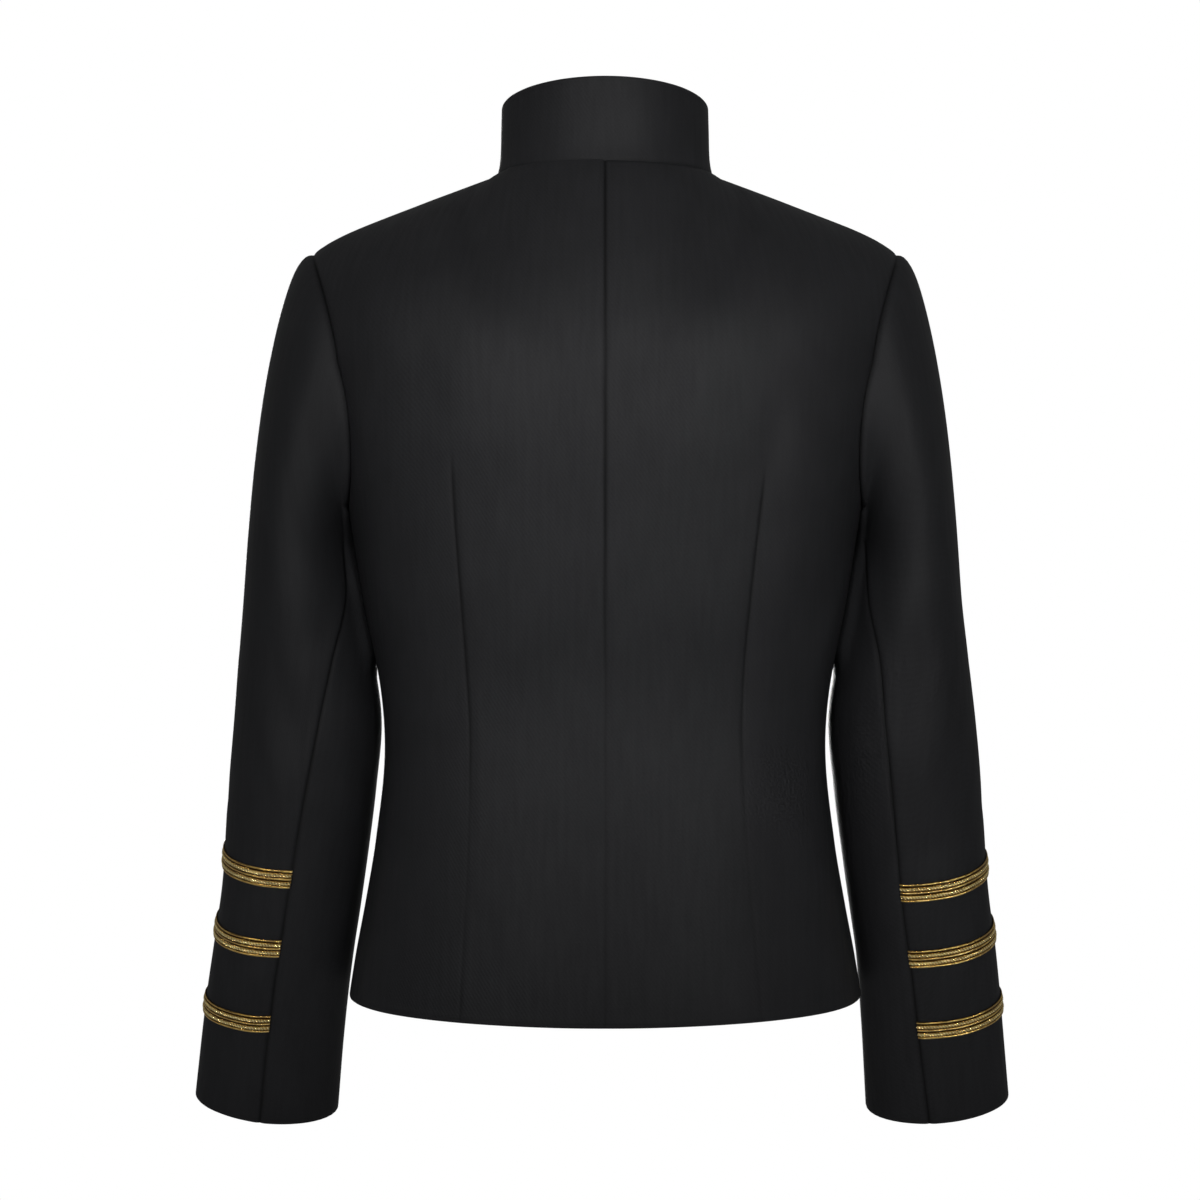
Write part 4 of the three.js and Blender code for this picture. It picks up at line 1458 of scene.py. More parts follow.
    def places(self, is_front: bool, height: float, dart: Dart, share: float) -> tuple[np.ndarray, float]:
        """Places across a panel at one height.

        Args:
            is_front: Whether it is the front.
            height: The row's height.
            dart: The panel's dart, whose line one column follows.
            share: The dart's share of the row below, which is kept above the dart's tip.

        Returns:
            The places, and the dart's share of this row.
        """
        start = -1.0 if is_front else 0.0
        fine = np.linspace(start, 1, 2 * self.sampling + 1)
        points = self.form.row(is_front, fine, height)
        walk = lengths_along(points, 0)
        centre = float(np.interp(0, fine, walk))
        level = float(points[self.sampling, 2])
        is_sewn = height < 2 and level < dart.tip
        if is_sewn:
            right = fine >= 0
            reach = dart.reach(points[right, 2])
            place = float(np.interp(0, points[right, 0] - reach, walk[right]))
            share = (place - centre) / (walk[-1] - centre)
        place = mix(centre, walk[-1], share)
        anchors = [0.0, centre, place, walk[-1]] if is_front else [0.0, place, walk[-1]]
        counts = list(self.front_counts if is_front else self.back_counts)
        return np.interp(spread(anchors, self.close_step, self.close, counts), walk, fine), share

    def panel(self, is_front: bool, dart: Dart) -> np.ndarray:
        """The grid of one of the wearer's left panels.

        Args:
            is_front: Whether it is the front.
            dart: The panel's dart.

        Returns:
            The grid, rows from the hem up, each from the centre to the side.
        """
        rows = []
        share = 0.5
        for height in self.heights():
            places, share = self.places(is_front, float(height), dart, share)
            rows.append(self.form.row(is_front, places, float(height)))
        return np.array(rows)

    def sewn_edges(self, grid: np.ndarray, is_front: bool) -> list[np.ndarray]:
        """The sewn edges of a panel: the side, the armhole, the top, and the centre of the back.

        The left back's part of the neckline is left out, because the collar's own seam shows there. The
        right back's part stays in, because its X is below zero.

        Args:
            grid: The panel's grid.
            is_front: Whether it is a front.

        Returns:
            The edges.
        """
        if not is_front:
            neck = int(np.argmax(grid[-1, :, 0] > self.form.neck_half_width * self.neck_part))
            return [grid[:, -1], grid[-1, neck:], grid[:, 0]]
        centre = int(np.argmin(np.abs(grid[-1, :, 0])))
        return [grid[:, -1], grid[-1, centre:]]

    def firmness(self, points: np.ndarray) -> np.ndarray:
        """How sharply a panel's seams show at each point: the centre-back seam fades below the waist."""
        low = 1 - smooth(points[..., 2], *self.fade_levels)
        return 1 - self.fade * low * (np.abs(points[..., 0]) < self.fade_width)

    def add(self, side: Side, is_front: bool) -> None:
        """Adds one panel.

        Args:
            side: The wearer's side that it is on.
            is_front: Whether it is a front.
        """
        dart = self.front_dart if is_front else self.back_darts[side]
        grid = self.panel(is_front, dart)
        if is_front:
            lift = self.form.lap_lift * smooth(-grid[..., 0], -self.form.lap_ease, self.form.lap_ease)
            grid = grid - side.value * grid_normals(grid) * lift[..., None]
        if side is Side.RIGHT:
            grid = grid * np.array([-1, 1, 1])
        edges = self.sewn_edges(grid, is_front)
        finishes = [Edge.ROUNDED if is_front else Edge.SEWN, Edge.SEWN]
        grain = 0.0
        if is_front != (side is Side.LEFT):
            grid = grid[:, ::-1]
            finishes.reverse()
            grain = 1.0
        name = f"{'front' if is_front else 'back'}_{side.word}"
        self.sheets[name] = ClothSheet(
            name=name,
            points=grid,
            sewn=edges,
            flat=self.front_flat if is_front else self.back_flat,
            area=self.front_area if is_front else self.back_area,
            rests_on=("collar", f"{'back' if is_front else 'front'}_{side.word}"),
            edges=(Edge.TURNED, Edge.SEWN, *finishes),
            creases=self.front_creases if is_front else self.back_creases,
            side=side,
            grain=grain,
            extra=[dart.relief],
            stitched=dart.stitched,
            firmness=self.firmness,
        )

    def build(self) -> dict[str, bpy.types.Object]:
        """Builds the four panels.

        Returns:
            The panels by node name.
        """
        for side in Side:
            for is_front in (False, True):
                self.add(side, is_front)
        built = {}
        for name, sheet in self.sheets.items():
            sheet.raise_cloth()
            built[name] = sheet.build(self.material)
        return built


@dataclass
class Collar:
    """The stand collar: one strip round the neck, folded over at its top edge."""

    form: CollarForm
    body: BodyForm
    material: bpy.types.Material
    columns: int = 150
    shares: tuple[float, ...] = (
        *(-0.045, 0, 0.015, 0.035, 0.065, 0.1, 0.16, 0.24, 0.33),
        *(0.43, 0.53, 0.63, 0.73, 0.83, 0.91, 0.96, 0.985, 1),
    )
    creases: tuple[Crease, ...] = (
        Crease(Facing.BACK, ((-62, 20), (-30, 26), (-4, 24)), 10, 0.6),
        Crease(Facing.BACK, ((6, 40), (30, 34), (58, 28)), 10, -0.6),
        Crease(Facing.BACK, ((64, 26), (46, 33), (20, 30)), 5, 0.45),
        Crease(Facing.BACK, ((58, 12), (36, 17), (12, 12)), 5, -0.4),
        Crease(Facing.BACK, ((-14, 44), (-34, 38), (-54, 40)), 6, 0.35),
    )

    def build(self) -> bpy.types.Object:
        """Builds the collar.

        Returns:
            The collar.
        """
        angles = np.linspace(-math.pi, math.pi, self.columns)
        grid = np.array([self.form.row(self.body, angles, share) for share in self.shares])
        sheet = ClothSheet(
            name="collar",
            points=grid[:, ::-1],
            sewn=[grid[1]],
            flat=(0.446, 0.112),
            area=0.043,
            rests_on=("back_left", "back_right", "front_left", "front_right"),
            edges=(Edge.SEWN, Edge.TURNED, Edge.ROUNDED, Edge.ROUNDED),
            creases=self.creases,
            fold_radius=1.4,
            fold_depth=44,
            unevenness=0.3,
            seam_depth=0.4,
            seam_shade=0.45,
        )
        sheet.raise_cloth()
        return sheet.build(self.material)


@dataclass
class Sleeve:
    """One two-piece sleeve and the cloth under its braids."""

    side: Side
    form: SleeveForm
    body: BodyForm
    material: bpy.types.Material
    creases: tuple[Crease, ...]
    close: tuple[float, ...] = (1, 2.2, 3.8, 6, 9)
    close_step: float = 0.06
    top_count: int = 56
    under_count: int = 22
    head_close: tuple[float, ...] = (0, 0.8, 1.8, 3.2, 5.2, 8)
    head_length: float = 60
    head_rows: int = 44
    sampling: int = 160
    row_spacing: float = 4.4
    ridge: float = 1.5
    ridge_levels: tuple[float, float] = (-170, -60)
    ridge_widths: tuple[float, float] = (3.5, 26)
    contact_power: float = 2.4
    contact_levels: tuple[float, float] = (-352, -230)
    contact_fades: tuple[float, float] = (25, 4)
    contact_reach: tuple[float, float] = (8, 12)
    reach_levels: tuple[float, float] = (-295, -235)
    contact_press: float = 0.2
    contact_edge: float = 0.4
    seam_start: float = -254
    top_flat: tuple[float, float] = (0.262, 0.602)
    top_area: float = 0.114
    under_flat: tuple[float, float] = (0.162, 0.452)
    under_area: float = 0.0585
    sheets: dict[str, ClothSheet] = field(default_factory=dict)

    def grid(self, is_under: bool) -> np.ndarray:
        """The grid of one piece on the wearer's left.

        Args:
            is_under: Whether it is the under sleeve.

        Returns:
            The grid, rows from the armhole down, each from seam to seam.
        """
        back, front = self.form.seam_steps
        start, end = (front, self.form.steps + back) if is_under else (back, front)
        count = self.under_count if is_under else self.top_count
        steps = spread([start, end], self.close_step, self.close, [count])
        armhole = self.body.armhole_point(steps % self.form.steps)
        fine = np.linspace(0, 1, self.sampling + 1)[:, None, None]
        head = self.form.head(armhole, steps, is_under, fine)
        walk = lengths_along(head, 0)
        shares = np.empty((len(self.head_close) + self.head_rows, len(steps)))
        for column in range(len(steps)):
            length = walk[-1, column]
            near = np.array(self.head_close) * min(1, length / self.head_length)
            targets = np.concatenate([near, np.linspace(near[-1], length, self.head_rows + 1)[1:]])
            shares[:, column] = np.interp(targets, walk[:, column], fine[:, 0, 0])
        top = self.form.head(armhole, steps, is_under, shares[..., None])
        sections = np.array(
            [self.form.section(index, steps, is_under) for index in range(len(self.form.sections))]
        )
        length = abs(self.form.sections[-1][0] - self.form.sections[0][0])
        down = np.linspace(0, len(sections) - 1, int(length / self.row_spacing))[1:]
        return np.concatenate([top, smooth_curve(sections, down)])

    def head_ridge(self, points: np.ndarray, distance: np.ndarray) -> np.ndarray:
        """How far the sleeve head stands proud of the armhole seam, most at the shoulder.

        Args:
            points: The points.
            distance: Their distance from the sewn edges.

        Returns:
            The rise at each point.
        """
        high = smooth(points[..., 2], *self.ridge_levels)
        near, far = (np.exp(-((distance / width) ** 2)) for width in self.ridge_widths)
        return self.ridge * high * (1 - near) * far

    def body_contact(self, points: np.ndarray, _: np.ndarray) -> np.ndarray:
        """How far the sleeve swells below the armhole, to lie against the body.

        Args:
            points: The points.
            _: Their distance from the sewn edges, which changes nothing here.

        Returns:
            The rise at each point.
        """
        z = points[..., 2]
        table = self.body.sections
        depth = np.where(points[..., 1] > 0, table.read("back", z), table.read("front", z))
        share = np.clip(np.abs(points[..., 1]) / depth, 0, 1)
        side = table.read("width", z) * (1 - share**self.contact_power) ** (1 / self.contact_power)
        gap = np.abs(points[..., 0]) - side
        low, high = self.contact_levels
        start, end = self.contact_fades
        reach = mix(*self.contact_reach, 1 - smooth(z, *self.reach_levels))
        weight = smooth(z, low, low + start) * (1 - smooth(z, high - end, high))
        fade = 1 - smooth(gap / reach, self.contact_edge, 1)
        return weight * np.clip(gap + self.contact_press, 0, None) * fade

    def add(self, is_under: bool) -> None:
        """Adds one of the two pieces.

        Args:
            is_under: Whether it is the under sleeve.
        """
        grid = self.grid(is_under)
        if self.side is Side.RIGHT:
            grid = grid * np.array([-1, 1, 1])
        edges = [grid[0], *(grid[grid[:, column, 2] < self.seam_start, column] for column in (0, -1))]
        if self.side is Side.RIGHT:
            grid = grid[:, ::-1]
        name = f"{'under' if is_under else 'top'}_sleeve_{self.side.word}"
        self.sheets[name] = ClothSheet(
            name=name,
            points=grid,
            sewn=edges,
            flat=self.under_flat if is_under else self.top_flat,
            area=self.under_area if is_under else self.top_area,
            rests_on=(f"back_{self.side.word}", f"front_{self.side.word}"),
            edges=(Edge.SEWN, Edge.TURNED, Edge.SEWN, Edge.SEWN),
            creases=self.creases,
            side=self.side,
            extra=[self.body_contact] if is_under else [self.head_ridge, self.body_contact],
            seam_shade=1.0,
        )

    def build(self) -> dict[str, bpy.types.Object]:
        """Builds both pieces.

        Returns:
            The pieces by node name.
        """
        built = {}
        for is_under in (False, True):
            self.add(is_under)
        for name, sheet in self.sheets.items():
            sheet.raise_cloth()
            built[name] = sheet.build(self.material)
        return built


@dataclass(frozen=True)
class Rib:
    """A raised rib along a braid: its place as a share from the top edge, half its width, rise and kind."""

    share: float
    half_width: float
    rise: float
    is_twisted: bool


@dataclass
class Braids:
    """The three gold braids of one sleeve."""

    side: Side
    cloth: ClothSheet
    material: bpy.types.Material
    heights: tuple[float, ...]
    drop: float
    front_seam: float = 210
    width: float = 13.6
    lift: float = 0.3
    base: float = 0.35
    across: int = 40
    spacing: float = 0.42
    twist_pitch: float = 2.1
    twist_slant: float = 0.42
    twist_floor: float = 0.42
    ribs: tuple[Rib, ...] = (
        Rib(0.065, 0.75, 0.85, False),
        Rib(0.3, 1.45, 1.35, True),
        Rib(0.5, 0.75, 0.9, False),
        Rib(0.73, 1.5, 1.35, True),
        Rib(0.93, 0.85, 0.85, False),
    )

    def rise(self, share: np.ndarray, along: np.ndarray) -> np.ndarray:
        """How far the braid's surface stands above its base.

        Args:
            share: Places across the braid, from its top edge.
            along: Places along it, in millimetres.

        Returns:
            The rise there, in millimetres.
        """
        height = np.zeros(np.broadcast(share, along).shape)
        for rib in self.ribs:
            off = (share - rib.share) * self.width / rib.half_width
            round_top = np.sqrt(np.clip(1 - off * off, 0, 1))
            if rib.is_twisted:
                phase = along / self.twist_pitch + self.twist_slant * off
                strand = np.abs(np.sin(math.pi * phase))
                round_top = round_top * mix(self.twist_floor, 1, strand)
            height = np.maximum(height, rib.rise * round_top)
        return height

    def strip(self, height: float) -> tuple[np.ndarray, np.ndarray]:
        """The grid of one braid.

        Args:
            height: How far its middle lies above the cuff edge.

        Returns:
            Its points, rows from its lower edge up, and the relief at each, from 0 to 1.
        """
        up = self.cloth.points[::-1]
        both = np.concatenate([up, self.cloth.normals[::-1]], axis=-1)
        walk = lengths_along(up, 0)
        shares = np.linspace(1, 0, self.across)
        lines = np.empty((self.across, *both.shape[1:]))
        round_share = self.round_share(up)
        for column in range(up.shape[1]):
            outside = math.sin(math.radians(self.front_seam * round_share[column]))
            targets = height - self.drop * outside + (0.5 - shares) * self.width
            for axis in range(both.shape[2]):
                lines[:, column, axis] = np.interp(targets, walk[:, column], both[:, column, axis])
        length = lengths_along(lines[self.across // 2, :, :3], 0)
        count = int(length[-1] / self.spacing)
        places = np.linspace(0, length[-1], count)
        index = np.interp(places, length, np.arange(len(length)))
        dense = smooth_curve(np.swapaxes(lines, 0, 1), index)
        dense = np.swapaxes(dense, 0, 1)
        rise = self.rise(shares[:, None], places[None, :])
        outward = unit(dense[..., 3:])
        points = dense[..., :3] + outward * (self.lift + self.base + rise)[..., None]
        return points, rise / max(rib.rise for rib in self.ribs)

    def round_share(self, up: np.ndarray) -> np.ndarray:
        """How far round the sleeve each column of the cloth lies.

        Args:
            up: The cloth, rows from the cuff up.

        Returns:
            The shares, from 0 at the back seam to 1 at the front seam.
        """
        walk = lengths_along(up[0], 0)
        share = walk / walk[-1]
        return share if self.side is Side.LEFT else 1 - share

    def build(self) -> list[bpy.types.Object]:
        """Builds the braids, each a closed strip on the top sleeve.

        Returns:
            The braids.
        """
        built = []
        for index, height in enumerate(self.heights, start=1):
            points, relief = self.strip(height)
            piece = sheet_mesh(f"gold_braid_{self.side.word}_{index}", points, relief)
            # The strip's rows run up from the cuff, against the cloth's, so its faces start turned inwards.
            bpy.ops.object.mode_set(mode="EDIT")
            bpy.ops.mesh.select_all(action="SELECT")
            bpy.ops.mesh.flip_normals()
            bpy.ops.object.mode_set(mode="OBJECT")
            finish_modifier("SOLIDIFY", thickness=self.base * MM, offset=-1, use_even_offset=False)
            bpy.ops.object.shade_smooth()
            piece.data.materials.append(self.material)
            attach(piece, "root")
            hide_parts(f"braid_{self.side.word}_{index}")
            report(piece)
            built.append(piece)
        return built


@dataclass
class Fastenings:
    """The domed buttons on the front that laps over, and the buttonholes of its edge."""

    front: bpy.types.Object
    metal: bpy.types.Material
    thread: bpy.types.Material
    rows: int = 5
    radius: float = 8.5
    sides: int = 40
    sink: float = 0.5
    profile: tuple[tuple[float, float], ...] = (
        (0.3, 0.0),
        (0.3, 2.1),
        (0.9, 2.35),
        (0.97, 2.5),
        (1.0, 2.8),
        (1.0, 3.15),
        (0.965, 3.4),
        (0.9, 3.45),
        (0.86, 3.65),
        (0.83, 4.2),
        (0.74, 5.25),
        (0.6, 6.05),
        (0.42, 6.65),
        (0.22, 6.95),
        (0.06, 7.02),
    )
    hole_length: float = 21
    hole_shift: float = -6.5
    hole_half_width: float = 1.5
    hole_sink: float = 0.1
    hole_weld: float = 0.02
    turn_steps: int = 12
    side_steps: int = 22
    cord_radius: float = 0.75
    cord_flatness: float = 0.75
    cord_sides: int = 10
    sharp_angle: float = 50
    ray_start: float = -0.5

    def pattern(self) -> bpy.types.Object:
        """One button with its foot at the origin, standing along +Z.

        Returns:
            The button.
        """
        bpy.ops.object.select_all(action="DESELECT")
        start = self.profile[0][0] * self.radius * MM
        bpy.ops.mesh.primitive_circle_add(vertices=self.sides, radius=start, fill_type="NGON")
        button = bpy.context.object
        bpy.ops.object.mode_set(mode="EDIT")
        bpy.ops.mesh.select_all(action="SELECT")
        for (wide, low), (narrow, high) in zip(self.profile, self.profile[1:]):
            bpy.ops.mesh.extrude_region_move(TRANSFORM_OT_translate={"value": (0, 0, (high - low) * MM)})
            scale = narrow / wide
            bpy.ops.transform.resize(value=(scale, scale, 1), center_override=(0, 0, high * MM))
        bpy.ops.mesh.select_all(action="SELECT")
        bpy.ops.mesh.normals_make_consistent(inside=False)
        bpy.ops.object.mode_set(mode="OBJECT")
        bpy.ops.object.shade_smooth_by_angle(angle=math.radians(self.sharp_angle))
        return button

    def seat(self, x: float, z: float) -> tuple[Vector, Vector]:
        """Where the front lies behind a point.

        Args:
            x: The point's X.
            z: The point's Z.

        Returns:
            The place on the cloth, and the cloth's normal there.
        """
        tree = BVHTree.FromObject(self.front, bpy.context.evaluated_depsgraph_get())
        place, normal, _, _ = tree.ray_cast(Vector((x, self.ray_start, z)), Vector((0, 1, 0)))
        return place, normal

    def frame_at(self, x: float, z: float, sink: float) -> Matrix:
        """The move that stands a piece on the front.

        Args:
            x: The piece's X.
            z: The piece's Z.
            sink: How far it sinks into the cloth, in millimetres.

        Returns:
            The move.
        """
        place, normal = self.seat(x, z)
        across = Vector((1, 0, 0))
        across = (across - normal * across.dot(normal)).normalized()
        up = normal.cross(across)
        turn = Matrix((across, up, normal)).transposed().to_4x4()
        return Matrix.Translation(place - normal * sink * MM) @ turn

    def build_buttons(self) -> None:
        """Builds the ten buttons, where their solids are."""
        pattern = self.pattern()
        for column in ("left", "right"):
            for index in range(1, self.rows + 1):
                node = f"button_{column}_{index}"
                low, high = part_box(node)
                button = bpy.data.objects.new(f"domed_{node}", pattern.data.copy())
                bpy.context.collection.objects.link(button)
                place = self.frame_at((low[0] + high[0]) / 2, (low[2] + high[2]) / 2, self.sink)
                button.data.transform(place)
                button.data.materials.append(self.metal)
                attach(button, "root")
                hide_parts(node)
                report(button)
        bpy.data.objects.remove(pattern)

    def hole_grid(self) -> np.ndarray:
        """The closed ring of thread round one buttonhole, lying along X.

        Returns:
            The grid, in millimetres.
        """
        half = self.hole_half_width
        straight = self.hole_length / 2 - half
        turn = np.linspace(-math.pi / 2, math.pi / 2, self.turn_steps + 1)
        right = np.stack([straight + half * np.cos(turn), half * np.sin(turn)], -1)
        sides = np.linspace(straight, -straight, self.side_steps + 2)[1:-1]
        top = np.stack([sides, np.full_like(sides, half)], -1)
        path = np.concatenate([right, top, -right, -top, right[:1]])
        tangent = unit(np.gradient(path, axis=0))
        tangent[0] = tangent[-1] = (0, 1)
        side = np.stack([tangent[:, 1], -tangent[:, 0]], -1)
        around = np.linspace(0, 2 * math.pi, self.cord_sides + 1)[:, None]
        reach = self.cord_radius * np.cos(around)
        rise = self.cord_radius * self.cord_flatness * np.sin(around) * np.ones(len(path))
        flat = path[None] + side[None] * reach[..., None]
        return np.concatenate([flat, rise[..., None]], axis=-1)

    def build_holes(self) -> None:
        """Builds the five buttonholes, under the buttons at the lap's edge."""
        grid = self.hole_grid()
        for index in range(1, self.rows + 1):
            low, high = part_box(f"button_left_{index}")
            hole = sheet_mesh(f"buttonhole_{index}", grid)
            bpy.ops.object.mode_set(mode="EDIT")
            bpy.ops.mesh.select_all(action="SELECT")
            bpy.ops.mesh.remove_doubles(threshold=self.hole_weld * MM)
            bpy.ops.mesh.normals_make_consistent(inside=False)
            bpy.ops.object.mode_set(mode="OBJECT")
            bpy.ops.object.shade_smooth()
            x = (low[0] + high[0]) / 2 + self.hole_shift * MM
            hole.data.transform(self.frame_at(x, (low[2] + high[2]) / 2, self.hole_sink))
            hole.data.materials.append(self.thread)
            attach(hole, "root")
            report(hole)


@dataclass(frozen=True)
class Lamp:
    """A soft oblong light.

    Its place and target are in metres, its size is its width and height, its power is in watts, and its
    spread and its lean about its own axis are in degrees.
    """

    name: str
    place: tuple[float, float, float]
    target: tuple[float, float, float]
    size: tuple[float, float]
    power: float
    spread: float
    lean: float = 0


@dataclass(frozen=True)
class Studio:
    """The camera, the lights, the pale surroundings and the floor."""

    camera_place: tuple[float, float, float] = (0.0035, 1.9, -0.295)
    lens: float = 81.43
    floor_level: float = -1.25
    floor_radius: float = 1.5
    floor_sides: int = 96
    sensor: float = 36
    surround: float = 0.2
    lamps: tuple[Lamp, ...] = (
        Lamp("left_key", (0.62, 2.0, 0.15), (0.06, 0, -0.15), (0.3, 0.6), 0.36, 16, 5),
        Lamp("right_key", (-0.75, 2.0, 0.18), (-0.085, 0, -0.14), (0.36, 0.6), 0.46, 16, -8),
        Lamp("left_low_key", (0.5, 2.0, -0.3), (0.25, 0, -0.57), (0.25, 0.25), 0.13, 16),
        Lamp("right_low_key", (-0.5, 2.0, -0.3), (-0.25, 0, -0.57), (0.25, 0.25), 0.15, 16),
        Lamp("fill", (0.2, 2.8, 0.3), (0, 0, -0.25), (1.8, 1.8), 2.5, 120),
        Lamp("front_key", (0.3, -2.1, -0.2), (0, 0, -0.25), (0.9, 0.9), 2.0, 30),
        Lamp("front_fill", (-0.2, -2.8, -0.3), (0, 0, -0.25), (1.8, 1.8), 1.9, 120),
    )

    def place_camera(self) -> None:
        """Puts the camera behind the jacket, level with its middle."""
        data = bpy.data.cameras.new("camera")
        data.lens = self.lens
        data.sensor_width = self.sensor
        camera = bpy.data.objects.new("camera", data)
        camera.location = self.camera_place
        camera.rotation_euler = (math.pi / 2, 0, math.pi)
        bpy.context.collection.objects.link(camera)
        bpy.context.scene.camera = camera

    def add_light(self, lamp: Lamp) -> None:
        """Adds one of the soft lights.

        Args:
            lamp: The light.
        """
        data = bpy.data.lights.new(lamp.name, "AREA")
        data.shape = "RECTANGLE"
        data.size, data.size_y = lamp.size
        data.energy = lamp.power
        data.spread = math.radians(lamp.spread)
        light = bpy.data.objects.new(lamp.name, data)
        light.location = lamp.place
        facing = (Vector(lamp.target) - Vector(lamp.place)).to_track_quat("-Z", "Y")
        light.rotation_euler = (facing @ Quaternion((0, 0, 1), math.radians(lamp.lean))).to_euler()
        bpy.context.collection.objects.link(light)

    def light(self) -> None:
        """Adds the lamps and a weak surrounding light, which the camera sees as white."""
        for lamp in self.lamps:
            self.add_light(lamp)
        world = bpy.data.worlds.new("surroundings")
        bpy.context.scene.world = world
        world.use_nodes = True
        nodes, links = world.node_tree.nodes, world.node_tree.links
        plain = nodes["Background"]
        plain.inputs["Color"].default_value = (1, 1, 1, 1)
        plain.inputs["Strength"].default_value = self.surround
        seen = nodes.new("ShaderNodeBackground")
        seen.inputs["Color"].default_value = (1, 1, 1, 1)
        seen.inputs["Strength"].default_value = 1.0
        path = nodes.new("ShaderNodeLightPath")
        chosen = nodes.new("ShaderNodeMixShader")
        links.new(path.outputs["Is Camera Ray"], chosen.inputs["Fac"])
        links.new(plain.outputs["Background"], chosen.inputs[1])
        links.new(seen.outputs["Background"], chosen.inputs[2])
        links.new(chosen.outputs["Shader"], nodes["World Output"].inputs["Surface"])
        bpy.context.scene.view_settings.view_transform = "Standard"

    def lay_floor(self) -> None:
        """Lays a plain floor below the jacket."""
        bpy.ops.object.select_all(action="DESELECT")
        bpy.ops.mesh.primitive_circle_add(
            vertices=self.floor_sides, radius=self.floor_radius, fill_type="NGON"
        )
        floor = bpy.context.object
        floor.name = "floor"
        floor.data.transform(Matrix.Translation((0, 0, self.floor_level)))
        floor.data.materials.append(FloorPaint().make())
        floor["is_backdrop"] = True

    def build(self) -> None:
        """Builds the whole stage."""
        self.place_camera()
        self.light()
        self.lay_floor()
        LOG.info("studio: camera, %d lights and floor", len(self.lamps))


LEFT_SLEEVE_CREASES = (
    Crease(Facing.BACK, ((232, -300), (222, -350), (206, -396), (188, -430)), 13, -1.7),
    Crease(Facing.BACK, ((246, -352), (232, -404), (210, -448)), 12, 1.2),
    Crease(Facing.BACK, ((252, -440), (236, -470), (214, -484)), 10, -1.0),
    Crease(Facing.BACK, ((196, -250), (190, -310), (180, -360)), 10, -1.3),
    Crease(Facing.BACK, ((236, -120), (232, -190), (224, -250)), 16, 1.0),
    Crease(Facing.BACK, ((262, -520), (250, -572), (252, -630)), 13, 0.8),
    Crease(Facing.BACK, ((222, -540), (216, -590), (220, -640)), 12, -0.7),
    Crease(Facing.BACK, ((268, -532), (250, -515), (226, -500)), 9, 1.1),
    Crease(Facing.BACK, ((260, -582), (246, -564), (232, -556)), 9, 0.9),
    Crease(Facing.FRONT, ((240, -380), (220, -410), (196, -420)), 10, -1.6),
    Crease(Facing.FRONT, ((246, -412), (226, -438), (200, -446)), 10, 1.2),
    Crease(Facing.FRONT, ((190, -230), (200, -290), (196, -340)), 11, -1.6),
    Crease(Facing.FRONT, ((248, -500), (240, -560), (250, -620)), 13, 0.9),
    Crease(Facing.OUTSIDE, ((-20, -150), (-8, -220), (-14, -300)), 16, -0.8),
    Crease(Facing.OUTSIDE, ((12, -330), (0, -400), (-16, -470)), 14, 0.9),
    Crease(Facing.OUTSIDE, ((-40, -380), (-26, -420), (-6, -440)), 10, -0.9),
)

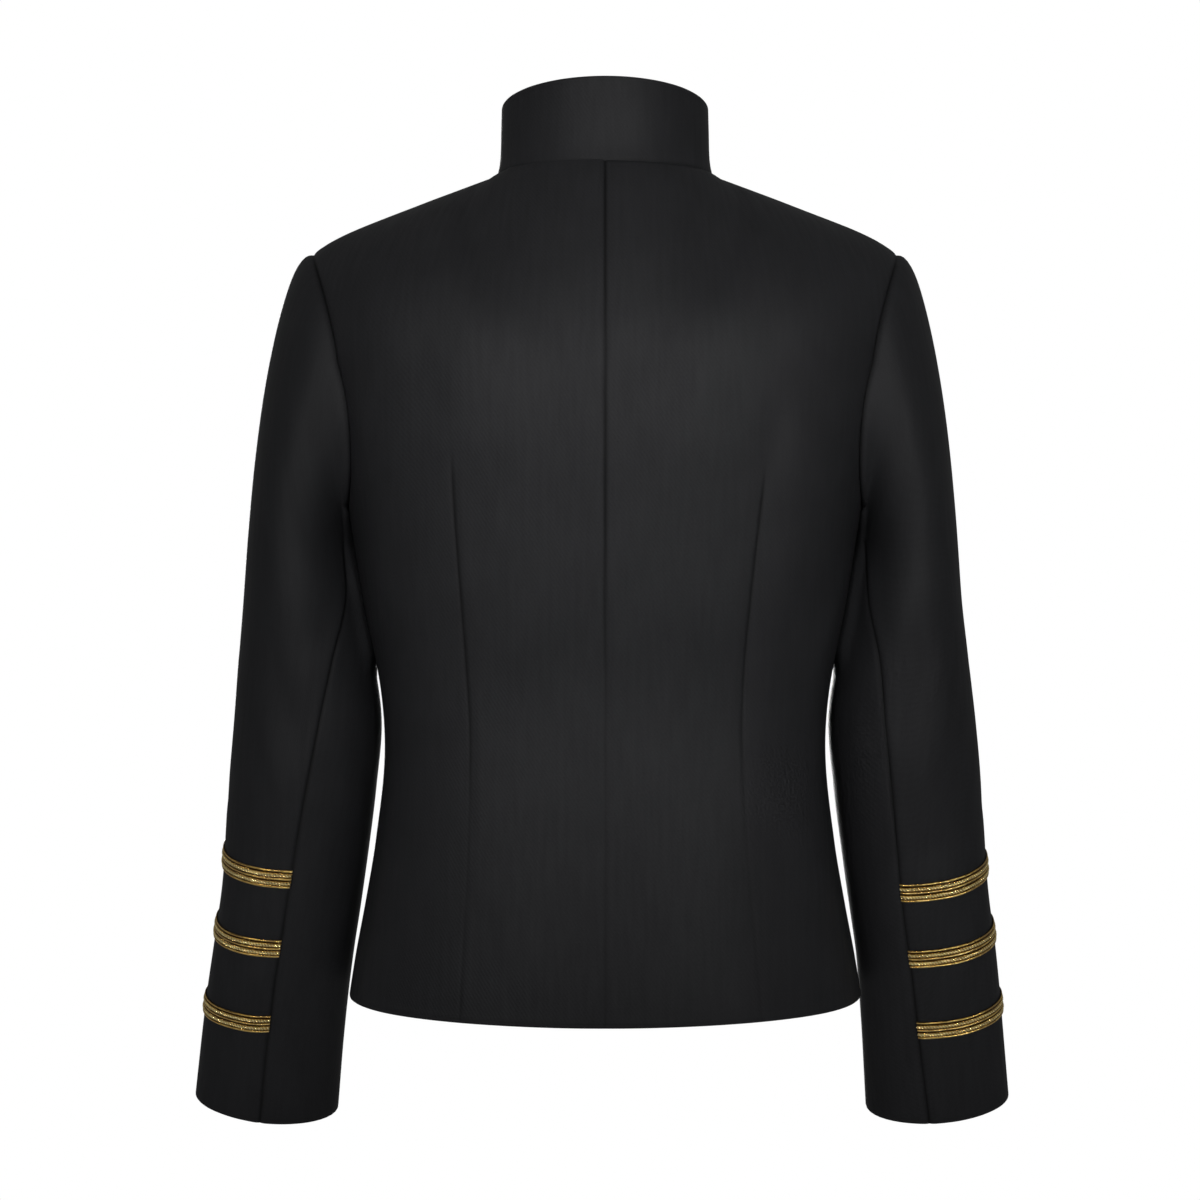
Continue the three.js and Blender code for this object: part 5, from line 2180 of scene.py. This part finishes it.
RIGHT_SLEEVE_CREASES = (
    Crease(Facing.BACK, ((-226, -290), (-214, -340), (-198, -380), (-184, -400)), 13, -1.9),
    Crease(Facing.BACK, ((-240, -330), (-226, -392), (-206, -440)), 13, 1.3),
    Crease(Facing.BACK, ((-250, -430), (-232, -466), (-212, -478)), 10, -1.1),
    Crease(Facing.BACK, ((-192, -240), (-186, -300), (-178, -350)), 10, -1.4),
    Crease(Facing.BACK, ((-234, -112), (-230, -180), (-220, -246)), 17, 1.1),
    Crease(Facing.BACK, ((-266, -510), (-256, -566), (-258, -624)), 13, 0.7),
    Crease(Facing.BACK, ((-216, -548), (-214, -600), (-220, -646)), 12, -0.8),
    Crease(Facing.BACK, ((-264, -520), (-248, -502), (-232, -490)), 9, 0.9),
    Crease(Facing.BACK, ((-262, -576), (-250, -558), (-236, -550)), 8, 0.8),
    Crease(Facing.FRONT, ((-238, -390), (-216, -416), (-194, -424)), 10, -1.5),
    Crease(Facing.FRONT, ((-244, -424), (-222, -446), (-198, -452)), 10, 1.1),
    Crease(Facing.FRONT, ((-188, -236), (-198, -300), (-192, -350)), 11, -1.7),
    Crease(Facing.FRONT, ((-246, -508), (-242, -570), (-250, -626)), 13, 0.8),
    Crease(Facing.OUTSIDE, ((-24, -160), (-10, -232), (-18, -310)), 16, -0.9),
    Crease(Facing.OUTSIDE, ((10, -340), (-4, -410), (-18, -480)), 14, 0.8),
    Crease(Facing.OUTSIDE, ((-42, -390), (-24, -428), (-8, -446)), 10, -1.0),
)


@dataclass(frozen=True)
class Arm:
    """What one sleeve has of its own: its form, its creases, and where its braids lie, in millimetres."""

    side: Side
    form: SleeveForm
    creases: tuple[Crease, ...]
    braid_heights: tuple[float, ...]
    braid_drop: float


ARMS = (
    Arm(
        side=Side.LEFT,
        form=SleeveForm(turned=0, swing=2, fullness=1.05, flatter=0),
        creases=LEFT_SLEEVE_CREASES,
        braid_heights=(79, 138, 190.5),
        braid_drop=6,
    ),
    Arm(
        side=Side.RIGHT,
        form=SleeveForm(turned=1, swing=-2, fullness=0.97, flatter=3.2),
        creases=RIGHT_SLEEVE_CREASES,
        braid_heights=(74.5, 130.5, 180.5),
        braid_drop=1,
    ),
)


def main() -> None:
    """Loads the frame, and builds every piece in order."""
    logging.basicConfig(level=logging.INFO, format="%(name)s: %(message)s")
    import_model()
    solid_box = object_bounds()
    Studio().build()
    twill = Twill().make()
    body_form = BodyForm()
    body = Body(body_form, twill)
    panels = body.build()
    Collar(CollarForm(), body_form, twill).build()
    gold = GoldThread().make()
    for arm in ARMS:
        sleeve = Sleeve(arm.side, arm.form, body_form, twill, arm.creases)
        sleeve.build()
        top = sleeve.sheets[f"top_sleeve_{arm.side.word}"]
        Braids(arm.side, top, gold, arm.braid_heights, arm.braid_drop).build()
    fastenings = Fastenings(panels["front_right"], GiltMetal().make(), BlackThread().make())
    fastenings.build_buttons()
    fastenings.build_holes()
    boxes = [[list(map(float, corner)) for corner in box] for box in (solid_box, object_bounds())]
    LOG.info("solids %s, dressed %s", *boxes)


if __name__ == "__main__":
    main()
